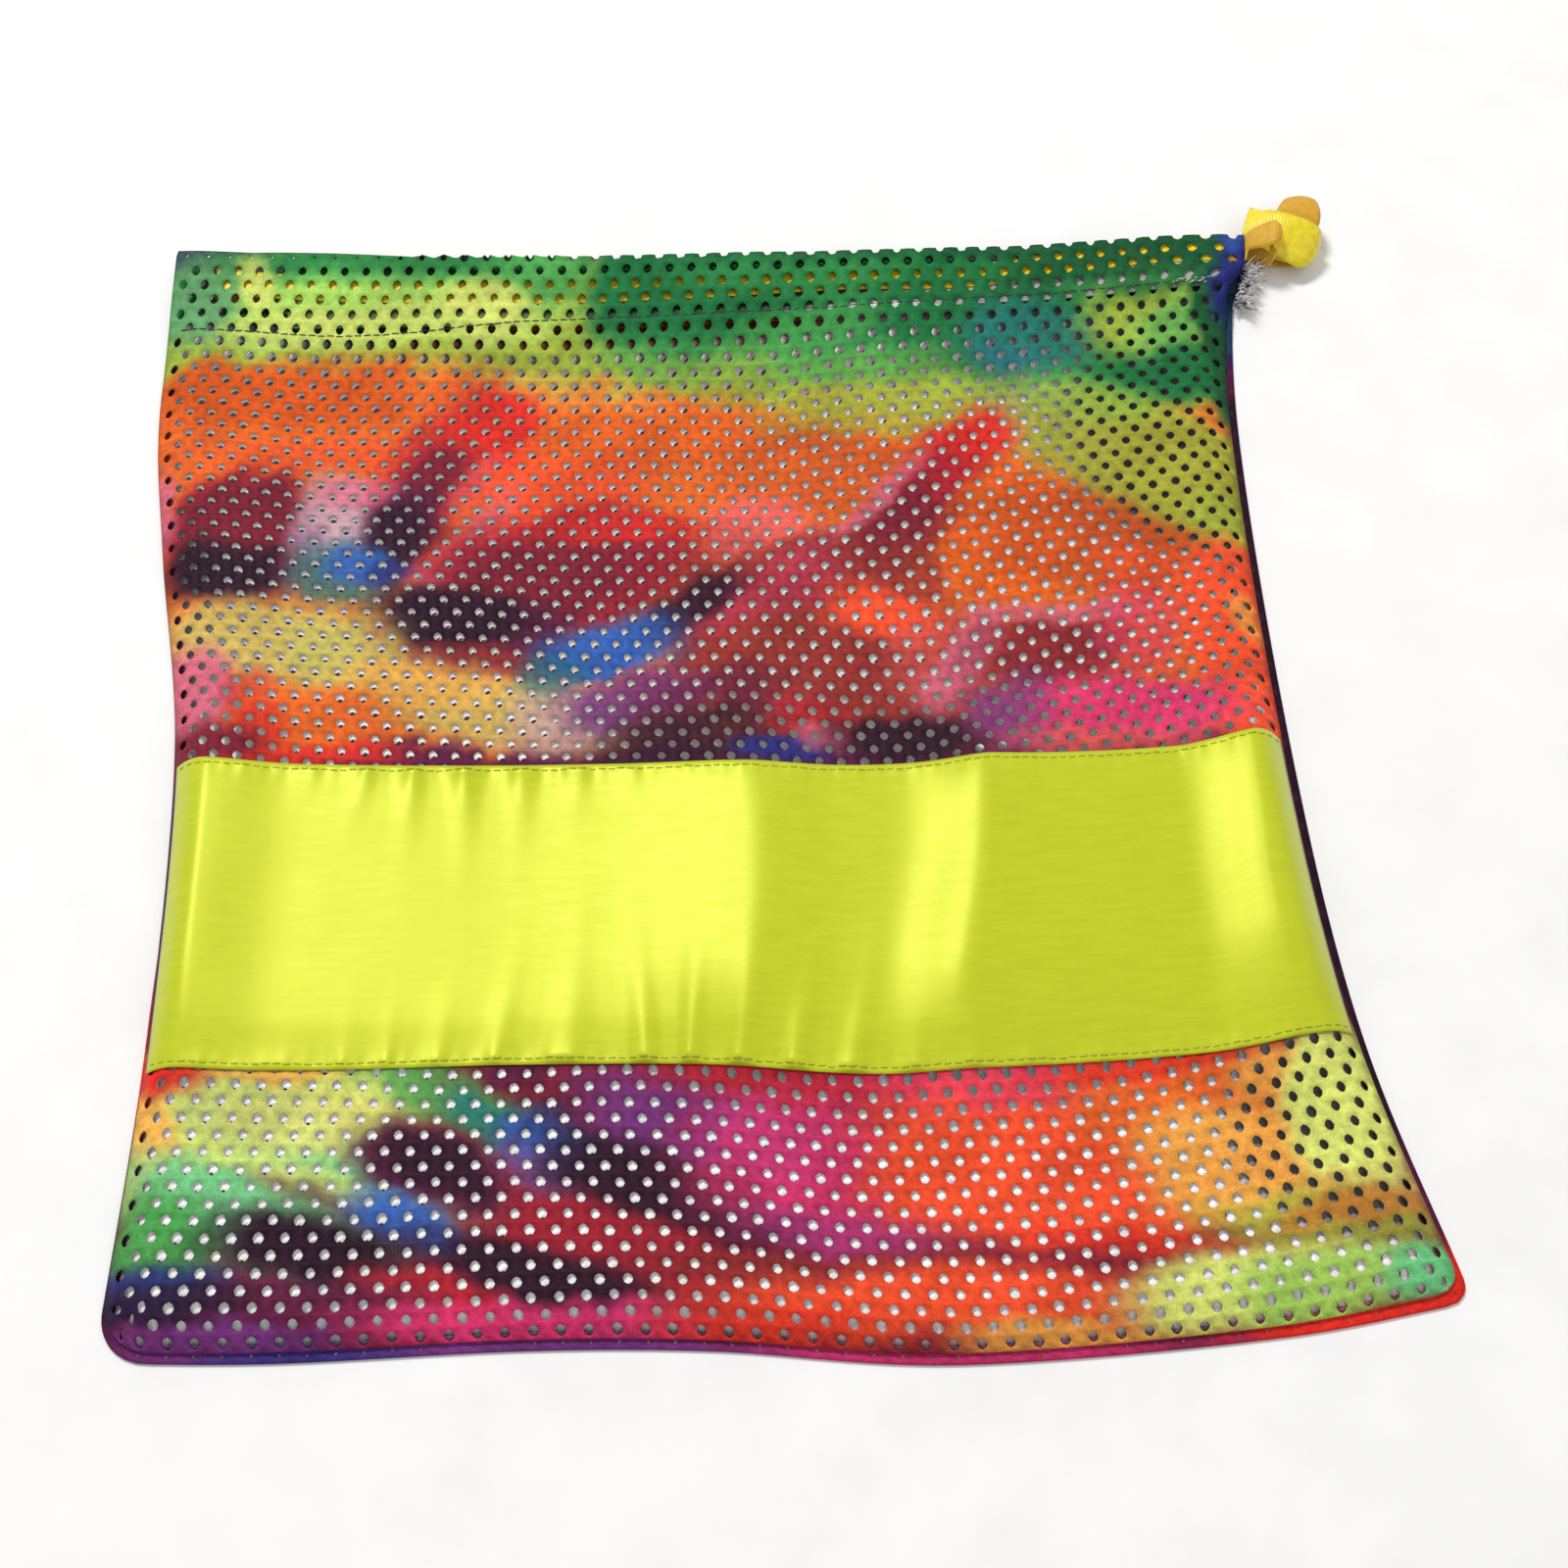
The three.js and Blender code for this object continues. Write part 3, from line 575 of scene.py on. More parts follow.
def dye(x, y, dabs):
    """The print's colour at points of the cloth: blocky dabs laid over each other, with feathered rims."""
    wx = x + dye_warp[0](x, y) * 3 * MM + dye_curl[0](x, y) * 1.6 * MM
    wy = y + dye_warp[1](x, y) * 2.5 * MM + dye_curl[1](x, y) * 1.6 * MM
    feather = dye_streaks(*turned(x, y, STREAK_TILT))
    colour = np.tile(np.sqrt(linear(PLUM)), (len(x), 1))
    for cx, cy, long, wide, tilt, rgb, strength in dabs:
        along, across = turned(wx - cx * MM, wy - cy * MM, math.radians(tilt))
        a, b = np.abs(along) / (long * MM), np.abs(across) / (wide * MM)
        reach = (a ** SQUARENESS + b ** SQUARENESS) ** (1 / SQUARENESS) + feather * FEATHER
        bleed = min(BLEED / wide, MOST_BLEED)
        amount = (1 - smoothstep(reach, 1 - bleed, 1 + bleed)) * strength
        # square roots of light mix dyes more evenly than light itself does
        colour = lerp(colour, np.sqrt(linear(rgb)), amount[:, None])
    shade = 1 + 0.05 * feather + 0.08 * dye_mottle(x, y)
    return (colour * shade[:, None]) ** 2


# ---- materials ----

class Shading:
    """A material being built. Each method adds one node and returns that node's output."""

    def __init__(self, name):
        self.material = bpy.data.materials.new(name)
        self.material.use_nodes = True
        self.tree = self.material.node_tree

    def feed(self, node, inputs):
        """Gives the node's inputs their plain values, or links them to other nodes' outputs."""
        for socket, value in inputs.items():
            if isinstance(value, bpy.types.NodeSocket):
                self.tree.links.new(value, node.inputs[socket])
            else:
                node.inputs[socket].default_value = value

    def node(self, kind, inputs, output=0, **settings):
        node = self.tree.nodes.new("ShaderNode" + kind)
        for setting, value in settings.items():
            setattr(node, setting, value)
        self.feed(node, inputs)
        return node.outputs[output]

    def attribute(self, name, output="Vector"):
        return self.node("Attribute", {}, output, attribute_name=name)

    def noise(self, vector, scale, detail=2.0, roughness=0.5):
        inputs = {"Vector": vector, "Scale": scale, "Detail": detail, "Roughness": roughness}
        return self.node("TexNoise", inputs, "Fac")

    def ribs(self, vector, scale, direction="X", **more):
        inputs = {"Vector": vector, "Scale": scale, **more}
        return self.node("TexWave", inputs, "Fac", bands_direction=direction)

    def remap(self, value, low, high, to_low, to_high):
        inputs = {"Value": value, "From Min": low, "From Max": high, "To Min": to_low, "To Max": to_high}
        return self.node("MapRange", inputs, "Result")

    def stretch(self, vector, scale):
        return self.node("VectorMath", {0: vector, 1: scale}, operation="MULTIPLY")

    def times(self, colour, factor):
        return self.node("VectorMath", {0: colour, "Scale": factor}, operation="SCALE")

    def between(self, factor, low, high):
        """A colour between two, both given as linear light."""
        return self.node("Mix", {0: factor, 6: (*low, 1), 7: (*high, 1)}, 2, data_type="RGBA")

    def bump(self, height, distance, strength):
        return self.node("Bump", {"Height": height, "Distance": distance, "Strength": strength}, "Normal")

    def finish(self, inputs):
        self.feed(self.tree.nodes["Principled BSDF"], inputs)
        return self.material


def mesh_cloth():
    """Fine polyester knit. The print is on its outer side, and its wrong side is nearly white, with painted
    shade where it is seen through the holes.
    """
    look = Shading("mesh_cloth")
    cloth = look.attribute("cloth")
    blotches = look.remap(look.noise(cloth, 420, 3, 0.6), 0.3, 0.7, 0.8, 1.2)
    threads = look.remap(look.noise(cloth, 2100), 0.3, 0.7, 0.88, 1.12)
    # fine warp-knit ribs, broken up by fuzz
    fuzz = look.noise(cloth, 1500, 3, 0.6)
    ribs = look.ribs(cloth, 460, Distortion=3.0, Detail=1)
    knit = look.node("Math", {0: fuzz, 1: 2.5, 2: ribs}, operation="MULTIPLY_ADD")
    return look.finish({
        "Base Color": look.times(look.times(look.attribute("dye", "Color"), blotches), threads),
        "Normal": look.bump(knit, 0.08 * MM, 0.55),
        "Roughness": look.remap(look.noise(cloth, 900), 0.3, 0.7, 0.55, 0.75),
        "Specular IOR Level": 0.14,
    })


def satin():
    """Lime ribbon satin: smooth and glossy, with fine threads along it."""
    look = Shading("satin_lime")
    cloth = look.attribute("cloth")
    threads = look.noise(look.stretch(cloth, (0.1, 1, 1)), 3600, 3, 0.6)
    slubs = look.noise(look.stretch(cloth, (0.12, 1, 1)), 700)
    base = look.between(look.remap(slubs, 0.35, 0.65, 0, 1), linear((180, 190, 38)), linear((186, 195, 42)))
    return look.finish({
        "Base Color": look.times(base, look.remap(threads, 0.3, 0.7, 0.97, 1.03)),
        "Normal": look.bump(threads, 0.02 * MM, 0.3),
        "Roughness": look.remap(slubs, 0.3, 0.7, 0.34, 0.39),
        "Specular IOR Level": 0.55,
        "Specular Tint": (*linear((250, 250, 120)), 1),
        "Sheen Weight": 0.12,
        "Sheen Roughness": 0.35,
    })


def grosgrain(name, rgb, rough):
    """The drawcord's ribbon: close ribs across its length."""
    look = Shading(name)
    cloth = look.attribute("cloth")
    ribs = look.ribs(cloth, 340, Distortion=0.4)
    wear = look.remap(look.noise(cloth, 500, 3), 0.3, 0.7, 0.86, 1.1)
    return look.finish({
        "Base Color": look.times(look.between(ribs, linear(rgb) * 0.88, linear(rgb)), wear),
        "Normal": look.bump(ribs, 0.07 * MM, 0.6),
        "Roughness": rough,
        "Sheen Weight": 0.2,
        "Specular IOR Level": 0.4,
    })


def thread(name, rgb):
    """Twisted sewing thread: thin slanting plies."""
    look = Shading(name)
    plies = look.ribs(look.attribute("cloth"), 600, "DIAGONAL")
    return look.finish({
        "Base Color": look.between(plies, linear(rgb) * 0.62, linear(rgb)),
        "Normal": look.bump(plies, 0.08 * MM, 0.6),
        "Roughness": 0.55,
        "Sheen Weight": 0.2,
    })


def plain_floor():
    look = Shading("studio_floor")
    grain = look.remap(look.noise(look.node("NewGeometry", {}, "Position"), 40, 4), 0.3, 0.7, 0.97, 1.02)
    shades = [look.node("Math", {0: grain, 1: value}, operation="MULTIPLY") for value in FLOOR_COLOUR]
    base = look.node("CombineColor", dict(zip(("Red", "Green", "Blue"), shades)))
    return look.finish({"Base Color": base, "Roughness": 0.8, "Specular IOR Level": 0.1})


FLOOR_SIZE = 6.0
FLOOR_COLOUR = (0.83, 0.825, 0.815)
MESH_CLOTH = mesh_cloth()
SATIN = satin()
RIBBON_FACE = grosgrain("ribbon_face", (236, 214, 20), 0.42)
# the ribbon's underside: its rougher finish is real, and its darker gold colour is painted shade
RIBBON_BACK_SHADED = grosgrain("ribbon_back_painted_shade", (212, 160, 30), 0.62)
DARK_THREAD = thread("dark_thread", (34, 26, 44))
PALE_THREAD = thread("pale_thread", (240, 238, 234))
LIME_THREAD = thread("lime_thread", (196, 202, 40))


# ---- the camera ----

CAMERA_LENS = 52.3
CAMERA_AIM = (12.4 * MM, -24 * MM, 0)
CAMERA_ELEVATION = math.radians(60)
CAMERA_DISTANCE = 618 * MM


def make_camera():
    """Looks down at the bag from the front, as the reference view does."""
    data = bpy.data.cameras.new("camera")
    data.sensor_width = 36
    data.lens = CAMERA_LENS
    data.clip_start = 0.01
    camera = add_object("camera", data)
    back_off = Vector((0, -math.cos(CAMERA_ELEVATION), math.sin(CAMERA_ELEVATION)))
    camera.location = Vector(CAMERA_AIM) + CAMERA_DISTANCE * back_off
    camera.rotation_euler = (math.radians(90) - CAMERA_ELEVATION, 0, 0)
    bpy.context.scene.camera = camera


# ---- baking each piece's placement into its points ----


def gathers(piece):
    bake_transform(piece)


# ---- the panels ----

row_waves = Ripple(31, 44 * MM, 36 * MM)
column_waves = Ripple(32, 40 * MM, 50 * MM)
ROW_WANDER = 1.8 * MM
COLUMN_WANDER = 1.6 * MM
SAG_LEFT = 4 * MM  # how far the rows sag beside the two side seams
SAG_RIGHT = 9 * MM


def slacken(u, v):
    """Lets the lattice's rows and columns wander inside their edges, and sag between the side seams."""
    calm = np.sqrt(np.clip(bulge(u) * bulge(v), 0, 1))
    x, y = u * WIDTH, v * LENGTH
    hang = (SAG_LEFT * (1 - smoothstep(u, 0, 0.35)) + SAG_RIGHT * smoothstep(u, 0.66, 1)) / LENGTH
    half_row = 0.5 / ROWS * smoothstep(u, 0.15, 0.5) * smoothstep(v, 0.55, 0.95)
    u = u + column_waves(x, y) * COLUMN_WANDER / WIDTH * calm
    v = v + row_waves(x, y) * ROW_WANDER / LENGTH * calm + half_row
    return u, v + hang * np.clip(bulge(v), 0, 1)


# Painted shade: patches where the wrong side is darkened to stand for the shade seen through the holes, in
# the channel's hem and where the layers lie apart: x, y, half sizes (millimetres), amount.
HOLE_SHADE_PATCHES = [(-70, 160, 150, 44, 0.97), (110, 160, 90, 40, 0.6), (135, 96, 44, 50, 0.7),
          (150, -125, 34, 30, 0.7), (-164, 20, 18, 60, 0.5)]
# how dark the painted shade in those patches is, as a share of the print's colour
HOLE_SHADE_DARKNESS = 0.22
WRONG_SIDE = np.array([0.97, 0.965, 0.95])
SHOW_THROUGH = 0.1  # how much of the print tints the wrong side


def wrong_side_and_painted_shade(x, y, printed):
    """The wrong side's colour: near white with a breath of the print, and painted shade (the print darkened)
    in the patches seen through the holes.
    """
    colour = lerp(WRONG_SIDE, printed, SHOW_THROUGH)
    for cx, cy, half_x, half_y, amount in HOLE_SHADE_PATCHES:
        reach = np.hypot((x - cx * MM) / (half_x * MM), (y - cy * MM) / (half_y * MM))
        # painted shade: the print darkened to stand for shade behind the holes
        painted_shade = amount * (1 - smoothstep(reach, 0.8, 1.0))
        colour = lerp(colour, printed * HOLE_SHADE_DARKNESS, painted_shade[:, None])
    return colour


def make_panel(name, node, surface, dabs):
    u, v, quads, rim = lattice([0] if surface is back_surface else [])
    u, v = slacken(u, v)
    half = np.where(rim, RIM_HALF, CLOTH / 2)
    solid, faces, _ = thicken(surface(u, v), normals_of(surface, u, v), half, quads)
    panel = new_mesh(name, solid, faces, [MESH_CLOTH])
    x, y = place(u, np.minimum(v, 2 - v))
    printed = dye(x, y, dabs)
    rolled = 1 - smoothstep(np.minimum(np.minimum(u, 1 - u) * WIDTH, v * LENGTH), 4 * MM, 6 * MM)
    # the wrong side carries painted shade in places; the rolled edges show the print
    sides = [printed, lerp(wrong_side_and_painted_shade(x, y, printed), printed, rolled[:, None])]
    if surface is back_surface:
        sides.reverse()
    cloth_coordinates(panel, u * WIDTH, v * LENGTH)
    store_dye_and_painted_shade(panel, np.vstack(sides))
    gathers(panel)
    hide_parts(node)
    return panel


# ---- the satin band ----

PUCKER_PITCH = 15 * MM
STITCH_PITCH = 4.6 * MM
PUCKER_RISE = 1.7  # heights in millimetres
STITCH_RISE = 0.2
BAND_GRID = (340, 90)  # points across the bag and up the band
# Where the long puckers run up from the band's bottom edge and down from its top edge: x, half width.
PUCKERS_BELOW = (-5 * MM, 62 * MM)
PUCKERS_ABOVE = (-72 * MM, 32 * MM)
pucker_shift = Ripple(42, 26 * MM, 60 * MM)


def puckers(x, from_edge, shift, place_and_reach, length):
    """Gathers along one stitched edge, as heights: long where the edge is tight, small all along."""
    middle, reach = place_and_reach
    tight = np.exp(-((x - middle) / reach) ** 2)
    phase = 2 * math.pi * (x + shift) / PUCKER_PITCH
    fade = np.exp(-from_edge / lerp(4 * MM, length, tight))
    long = (np.sin(phase) * 0.5 + 0.5) ** 2 * lerp(0.25, 1, tight) * fade
    small = np.sin(2 * math.pi * (x + 0.4 * shift) / STITCH_PITCH) * np.exp(-from_edge / (2.2 * MM))
    return (PUCKER_RISE * long + STITCH_RISE * small) * smoothstep(from_edge, 0, 1.6 * MM) * MM


def band_surface(u, v):
    """The band over the front panel: soft folds down it, and puckers where its edges are stitched."""
    x, y = place(u, v)
    z = front_height(u, v)
    above, below = BAND_TOP - v * LENGTH, v * LENGTH - BAND_BOTTOM
    shift = pucker_shift(x, y) * 5 * MM
    gathers_up = puckers(x, np.maximum(below, 0), shift, PUCKERS_BELOW, 15 * MM)
    gathers_down = puckers(x, np.maximum(above, 0), -shift, PUCKERS_ABOVE, 9 * MM)
    puff = smoothstep(np.minimum(above, below), 0, 14 * MM) * 0.5 * MM
    sides = smoothstep(np.minimum(u, 1 - u), 0, 0.03)
    z = z + BAND_STANDOFF + (gathers_up + gathers_down + puff) * sides
    return np.stack([x, y, z], -1) + BAG_MIDDLE


def make_band():
    us = np.linspace(SEAM_INSET, 1 - SEAM_INSET, BAND_GRID[0])
    vs = np.linspace(BAND_BOTTOM, BAND_TOP, BAND_GRID[1]) / LENGTH
    u, v = [grid.ravel() for grid in np.meshgrid(us, vs)]
    half = np.full(len(u), BAND_HALF)
    solid, faces, _ = thicken(band_surface(u, v), normals_of(band_surface, u, v), half,
                              grid_quads(len(vs), len(us)))
    band = new_mesh("satin_band_cloth", solid, faces, [SATIN])
    cloth_coordinates(band, u * WIDTH, v * LENGTH)
    gathers(band)
    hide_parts("satin_band")
    return band


# ---- stitching ----

STITCH_RADIUS = 0.2 * MM
STITCH_WOBBLE = 0.15 * MM


def tubes(name, centres, radii, side_a, side_b, sides, along, materials, pick):
    """Many closed tubes in one object. centres holds, ring by ring, a point for every tube."""
    steps, count = len(centres), len(side_a)
    around = np.arange(sides) * 2 * math.pi / sides
    rings = [centre + (side_a * math.cos(angle) + side_b * math.sin(angle)) * radius
             for centre, radius in zip(centres, radii) for angle in around]
    one = []
    for first in range(0, (steps - 1) * sides, sides):
        for k in range(sides):
            n = (k + 1) % sides
            one.append([first + k, first + n, first + sides + n, first + sides + k])
    last = (steps - 1) * sides
    fans = range(1, sides - 1, 2)
    one += [[k + 2, k + 1, k, 0] for k in fans]
    one += [[last, last + k, last + k + 1, last + k + 2] for k in fans]
    quads = (np.array(one)[None] + (np.arange(count) * steps * sides)[:, None, None]).reshape(-1, 4)
    piece = new_mesh(name, np.stack(rings, 1).reshape(-1, 3), quads, materials, np.repeat(pick, len(one)))
    cloth_coordinates(piece, np.repeat(along, sides), np.tile(around, steps) * max(radii), count)
    return piece


def stitched(name, path, count, length, material, rng):
    """Separate stitches along a path. path(t) gives points and the outward normal at t in 0..1."""
    along = np.array([-1, -0.62, 0, 0.62, 1])
    thick = np.array([0.35, 0.9, 1, 0.9, 0.35])
    dive = np.array([-0.9, 0.35, 0.6, 0.35, -0.9])
    t = (np.arange(count) + 0.5) / count
    points, normals = path(t)
    forward = unit(path(np.minimum(t + 1e-3, 1))[0] - path(np.maximum(t - 1e-3, 0))[0])
    sideways = np.cross(normals, forward)
    points = points + sideways * rng.uniform(-STITCH_WOBBLE, STITCH_WOBBLE, (count, 1))
    turn = rng.uniform(-0.1, 0.1, (count, 1))
    forward, sideways = forward + sideways * turn, sideways - forward * turn
    centres = [points + forward * a * length / 2 + normals * d * STITCH_RADIUS for a, d in zip(along, dive)]
    return tubes(name, centres, thick * STITCH_RADIUS, sideways, normals, 6, along * length / 2,
                 [material], np.zeros(count))


def on_surface(surface, us, vs, lift, sink=0.0, side=1):
    """A stitch path on a surface's upper side, or on its lower one if side is -1. It may sink on the way."""
    def path(t):
        u, v = us(t), vs(t)
        outward = normals_of(surface, u, v) * side
        height = lift - sink * smoothstep(u, 0.3, 0.5)
        return surface(u, v) + outward * height[:, None], outward
    return path


def steady(value):
    return lambda t: np.full_like(t, value)


def run(start, span):
    return lambda t: start + span * t


def make_stitching():
    rng = np.random.default_rng(51)

    def sew(name, node, path, count, length, material):
        piece = stitched(name, path, count, length, material, rng)
        gathers(piece)
        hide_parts(node)

    inset = 1.6 * MM
    rows = [("band_stitches_top", "band_stitch_top", BAND_TOP - inset),
            ("band_stitches_bottom", "band_stitch_bottom", BAND_BOTTOM + inset)]
    for name, node, height in rows:
        path = on_surface(band_surface, run(0.006, 0.988), steady(height / LENGTH), 0.14 * MM)
        sew(name, node, path, 116, 2.4 * MM, LIME_THREAD)

    across = run(0.012, 0.976)
    channels = [("channel_stitches_front", "channel_stitch_front", front_surface, 1),
                ("channel_stitches_back", "channel_stitch_back", back_surface, -1)]
    for name, node, surface, side in channels:
        path = on_surface(surface, across, lambda t: stitch_line(across(t)), CLOTH / 2, 0.12 * MM, side)
        sew(name, node, path, 112, 2.8 * MM, DARK_THREAD)

    seams = [("left_seam_stitches", "left_seam_stitch", steady(SEAM_INSET), run(0.05, 0.94), 112),
             ("right_seam_stitches", "right_seam_stitch", steady(1 - SEAM_INSET), run(0.03, 0.9), 108),
             ("bottom_seam_stitches", "bottom_seam_stitch", run(0.05, 0.92), steady(SEAM_INSET), 110)]
    for name, node, us, vs, count in seams:
        path = on_surface(front_surface, us, vs, -CLOTH / 2)
        sew(name, node, path, count, 2.3 * MM, DARK_THREAD)


# ---- the ribbon drawcord ----

RIBBON_WIDTH = 9.5 * MM
RIBBON_HALF = 0.22 * MM  # half its thickness
# How deep in the channel the ribbon's middle lies, from u = 0 at the left corner (millimetres).
RIBBON_DEPTHS = [(0, 6.5), (0.045, 9.5), (0.09, 12.5), (0.16, 13.5), (0.3, 14), (0.5, 12), (0.62, 10),
                 (0.74, 11), (0.84, 7.5), (0.92, 5.8), (1.03, 5.6)]
ribbon_depth = soft_steps(RIBBON_DEPTHS)
EXIT_U = 0.985  # where the loop's two ends hand over to the strands that lead to the knot


def ribbon_mesh(name, points, normals, route, spread, faces):
    """A ribbon from rows of points across it. faces picks the material of its two sides."""
    rows, strands = points.shape[:2]
    half = np.full(rows * strands, RIBBON_HALF)
    solid, walls, side = thicken(points.reshape(-1, 3), np.repeat(normals, strands, axis=0), half,
                                 grid_quads(rows, strands)[:, [0, 3, 2, 1]])
    materials = (RIBBON_FACE, RIBBON_BACK_SHADED)
    piece = new_mesh(name, solid, walls, [materials[face] for face in faces], side)
    cloth_coordinates(piece, np.repeat(arc_lengths(route), strands), spread.ravel())
    return piece


def channel_route(u, front):
    """The ribbon's centre and width direction inside the front or the rear channel."""
    surface_height = front_height if front else back_height
    sign = -1 if front else 1
    depth = ribbon_depth(u) * MM
    ends = []
    for offset in (RIBBON_WIDTH / 2, -RIBBON_WIDTH / 2):
        v = 1 - (depth + offset) / LENGTH
        x, y = place(u, v)
        s = (depth + offset) / channel_depth(u)
        z = surface_height(u, v) + sign * hem_gap(u, s) * (0.7 if front else 0.5)
        ends.append(np.stack([x, y, z], -1) + BAG_MIDDLE)
    return (ends[0] + ends[1]) / 2, unit(ends[1] - ends[0])


def make_ribbon_loop():
    us = np.linspace(0.045, EXIT_U, 170)
    front, front_across = channel_route(us[::-1], True)
    back, back_across = channel_route(us, False)
    # the turn at the left corner, from the front channel down to the rear one
    top, bottom = front[-1], back[0]
    middle, half = (top + bottom) / 2, (top - bottom) / 2
    outward = np.array([-1.0, 0, 0]) * np.linalg.norm(half)
    turn = [middle + half * math.cos(a) + outward * math.sin(a) for a in np.linspace(0, math.pi, 9)[1:-1]]
    turn_across = np.linspace(front_across[-1], back_across[0], 9)[1:-1]
    centres = np.vstack([front, turn, back])
    across = unit(np.vstack([front_across, turn_across, back_across]))
    normal = unit(np.cross(np.gradient(centres, axis=0), across))
    spread = np.linspace(-0.5, 0.5, 7) * RIBBON_WIDTH
    points = centres[:, None] + across[:, None] * spread[:, None]
    spread = np.tile(spread, len(centres))
    loop = ribbon_mesh("drawcord_ribbon", points, -normal, centres, spread, (0, 1))
    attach(loop, "drawcord")
    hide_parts("drawcord_loop")


def rails_strip(name, rail_a, rail_b, faces, camber):
    """Ribbon between two listed edges, in millimetres from the knot's middle, slightly crowned."""
    a, b = [KNOT_MIDDLE + catmull_rom(rail, 10) * MM for rail in (rail_a, rail_b)]
    t = np.linspace(0, 1, 9)[:, None]
    route, across = (a + b) / 2, b - a
    normal = unit(np.cross(np.gradient(route, axis=0), across))
    crown = 4 * t * (1 - t) * camber * MM
    points = lerp(a[:, None], b[:, None], t) + normal[:, None] * crown
    spread = np.linalg.norm(across, axis=1)[:, None] * (t.ravel() - 0.5)
    return ribbon_mesh(name, points, normal, route, spread, faces)


def make_knot():
    """The compact knot of folded ribbon just outside the channel's exit, with its two short ends."""
    exits = []
    for in_front in (True, False):
        centre, across = channel_route(np.array([EXIT_U, 1.0]), in_front)
        for side in (1, -1):
            exits.append((centre + side * across * RIBBON_WIDTH / 2 - KNOT_MIDDLE) / MM)
    front_high, front_low, rear_high, rear_low = exits
    pieces = [
        # the wide bright face, from the short free end at the left to a loop that turns under
        rails_strip("drawcord_knot_face",
                    [(-6, 12.6, 1), (-2.9, 9.2, 3.2), (-0.4, 8.4, 4.4), (5.4, 5.4, 5.4),
                     (10.6, 3.6, 4.6), (14.2, 2.6, 2.4), (15, 2, -1.2), (13.4, 1.6, -4.6), (6, 1, -5.8)],
                    [(-9.4, 1.8, 0.2), (-7.1, -1.6, 0.8), (-3.1, -4.2, 0.4), (1.6, -6.2, -1.2),
                     (6.6, -8.4, -2.8), (9.8, -7.6, -3.4), (11.8, -5, -4.4), (11.4, -4, -5.8),
                     (4.6, -4.2, -6.4)],
                    (1, 0), -0.8),
        # the loop that stands up behind it, showing the ribbon's rougher underside, whose darker gold is
        # painted shade
        rails_strip("drawcord_knot_lobe",
                    [(1, 2, 0), (0.8, 7.5, 2.4), (3, 12, 3.4), (5.4, 15, 2.6), (7.4, 16.4, 0.6),
                     (7, 14, -3.4), (5, 8, -5.4)],
                    [(8.6, -1, -1.4), (13.4, 3, 0.6), (15.1, 7.8, 2.4), (14.6, 13.6, 2.4),
                     (12.6, 16.6, 0.6), (13, 13.6, -3.2), (12.4, 7, -5)],
                    (0, 1), -0.6),
        # the ribbon from the front channel, lying over the face's left half with a rounded end
        rails_strip("drawcord_lead_front",
                    [*front_high, (-7.6, 1.5, 2.4), (-3.8, 1.8, 5.2), (-0.4, 1.6, 6.8),
                     (1.2, -0.4, 6.4), (1.2, -2.4, 4.6)],
                    [*front_low, (-8.4, -5.2, 1.2), (-4.8, -6.6, 4), (-1.4, -6.2, 5.4),
                     (0.2, -4.8, 5.2), (0.6, -3.8, 4.2)],
                    (0, 1), -0.4),
        # the ribbon from the rear channel, coming up under the face
        rails_strip("drawcord_lead_rear",
                    [*rear_high, (-5.2, -1, -2.6), (-2.4, -2.6, 0), (-0.8, -3, 2)],
                    [*rear_low, (-3.8, -7.2, -4.6), (-1, -7.4, -2), (0.6, -5.8, 1.4)],
                    (0, 1), -0.4),
        # the wrap that fills the knot under its loops
        rails_strip("drawcord_knot_wrap",
                    [(-4, 4.5, -4), (-2.5, 5, 0.4), (2, 4.6, 2), (8, 2.8, 1.4), (11, 1, -1.6),
                     (9.6, 1, -5.4), (2, 2, -6.4), (-3.4, 3.4, -5.4)],
                    [(-4, -5, -5), (-1.6, -4.6, -2.8), (2.6, -5.6, -3.2), (7, -6.4, -4.2),
                     (9.4, -5.4, -5), (8.8, -4.6, -6.4), (2, -4.4, -7), (-3.4, -4.4, -6.2)],
                    (1, 0), -0.5),
    ]
    for piece in pieces:
        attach(piece, "drawcord")
    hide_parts("drawcord_knot", "drawcord_tail_front")
    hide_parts("drawcord_tail_rear")


# ---- the frayed corner ----

TUFT_THREADS = 400
TACK_THREADS = 20
TUFT_RADIUS = 0.24 * MM
TACK_RADIUS = 0.18 * MM
FIBRE_CLEARANCE = 0.4 * MM  # fibres stay this far above the table


def fibres(name, roots, directions, lengths, radius, rng):
    """Loose thread ends, pale with a few dark ones among them: thin tubes that curl as they go."""
    along = np.linspace(0, 1, 7)
    count = len(roots)
    directions = unit(directions)
    curl = rng.uniform(-1, 1, (count, 3)) * 0.9
    side_a = unit(np.cross(directions, rng.uniform(-1, 1, (count, 3))))
    side_b = unit(np.cross(directions, side_a))
    centres = []
    for t in along:
        centre = roots + lengths[:, None] * (directions * t + curl * t * t * 0.6)
        centre[:, 2] = np.maximum(centre[:, 2], FIBRE_CLEARANCE)
        centres.append(centre)
    dark = rng.integers(0, 6, count) // 5
    return tubes(name, centres, radius * (1 - 0.6 * along), side_a, side_b, 4, along * 5 * MM,
                 [PALE_THREAD, DARK_THREAD], dark)


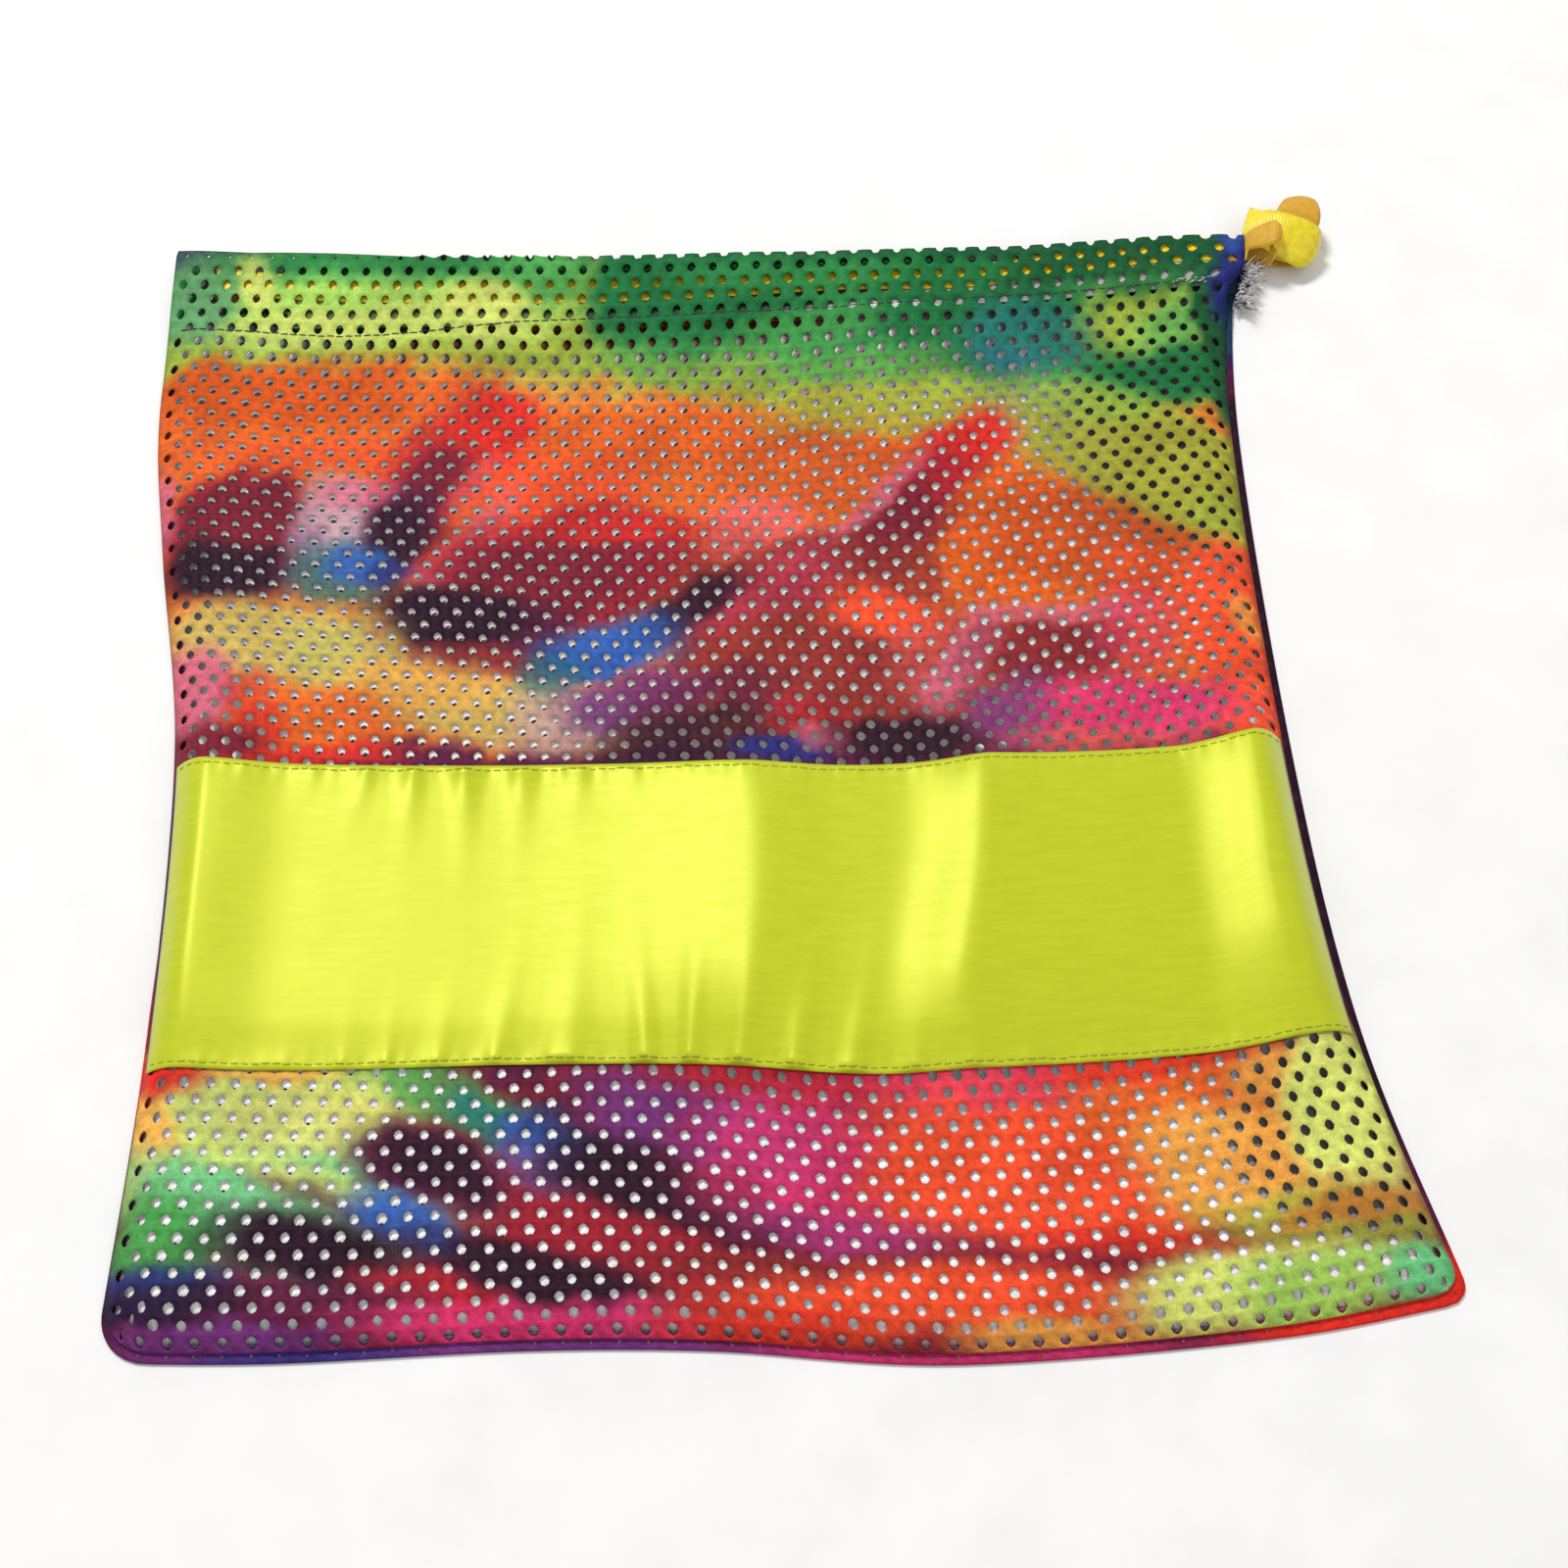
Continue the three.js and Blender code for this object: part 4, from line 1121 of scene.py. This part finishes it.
def make_frayed_corner():
    """Where the side seam ends under the channel the cut edge has frayed into a pale tuft."""
    rng = np.random.default_rng(61)
    count = TUFT_THREADS
    t = rng.uniform(0, 1, count)
    roots = BAG_MIDDLE + np.stack([lerp(151, 156, t), lerp(143, 160, t), rng.uniform(1, 5.5, count)], -1) * MM
    roots[:, 0] += rng.uniform(-1, 3.2, count) * MM
    directions = np.stack([rng.uniform(0.1, 1, count), rng.uniform(-0.9, 0.5, count),
                           rng.uniform(-0.3, 0.7, count)], -1)
    lengths = rng.uniform(1, 4.2, count) * MM
    tuft = fibres("frayed_seam_threads", roots, directions, lengths, TUFT_RADIUS, rng)
    gathers(tuft)

    # the pale back tack that ends the channel's stitching
    count = TACK_THREADS
    u = rng.uniform(0.945, 0.975, count)
    v = stitch_line(u) + rng.uniform(-0.003, 0.003, count)
    roots = front_surface(u, v) + normals_of(front_surface, u, v) * (CLOTH / 2 + 0.1 * MM)
    directions = np.stack([np.ones(count), rng.uniform(-0.25, 0.25, count),
                           rng.uniform(-0.05, 0.02, count)], -1)
    lengths = rng.uniform(0.8, 1.7, count) * MM
    tack = fibres("back_tack_threads", roots, directions, lengths, TACK_RADIUS, rng)
    gathers(tack)


# ---- the studio ----

def area_light(name, location, size, power):
    """A round soft light aimed at the middle of the floor."""
    data = bpy.data.lights.new(name, "AREA")
    data.shape = "DISK"
    data.size = size
    data.energy = power
    light = add_object(name, data)
    light.location = location
    light.rotation_euler = (-Vector(location)).to_track_quat("-Z", "Y").to_euler()


def make_studio():
    world = bpy.data.worlds.new("studio")
    world.use_nodes = True
    background = world.node_tree.nodes["Background"]
    background.inputs["Color"].default_value = (1, 1, 1, 1)
    background.inputs["Strength"].default_value = 0.5
    bpy.context.scene.world = world
    bpy.context.scene.view_settings.view_transform = "Standard"
    area_light("key", (-0.75, 1.25, 2.2), 0.6, 50)
    area_light("fill", (1.0, -1.6, 2.6), 2.2, 16)
    reach = FLOOR_SIZE / 2
    corners = [(-reach, -reach, 0), (reach, -reach, 0), (reach, reach, 0), (-reach, reach, 0)]
    mesh = bpy.data.meshes.new("floor")
    mesh.from_pydata(corners, [], [(0, 1, 2, 3)])
    mesh.materials.append(plain_floor())
    floor = add_object("floor", mesh)


# ---- everything in order ----

make_camera()
front = make_panel("front_panel_cloth", "front_panel", front_surface, FRONT_DABS)
back = make_panel("back_panel_cloth", "back_panel", back_surface, BACK_DABS)
band = make_band()
make_stitching()
make_ribbon_loop()
make_knot()
make_frayed_corner()
make_studio()
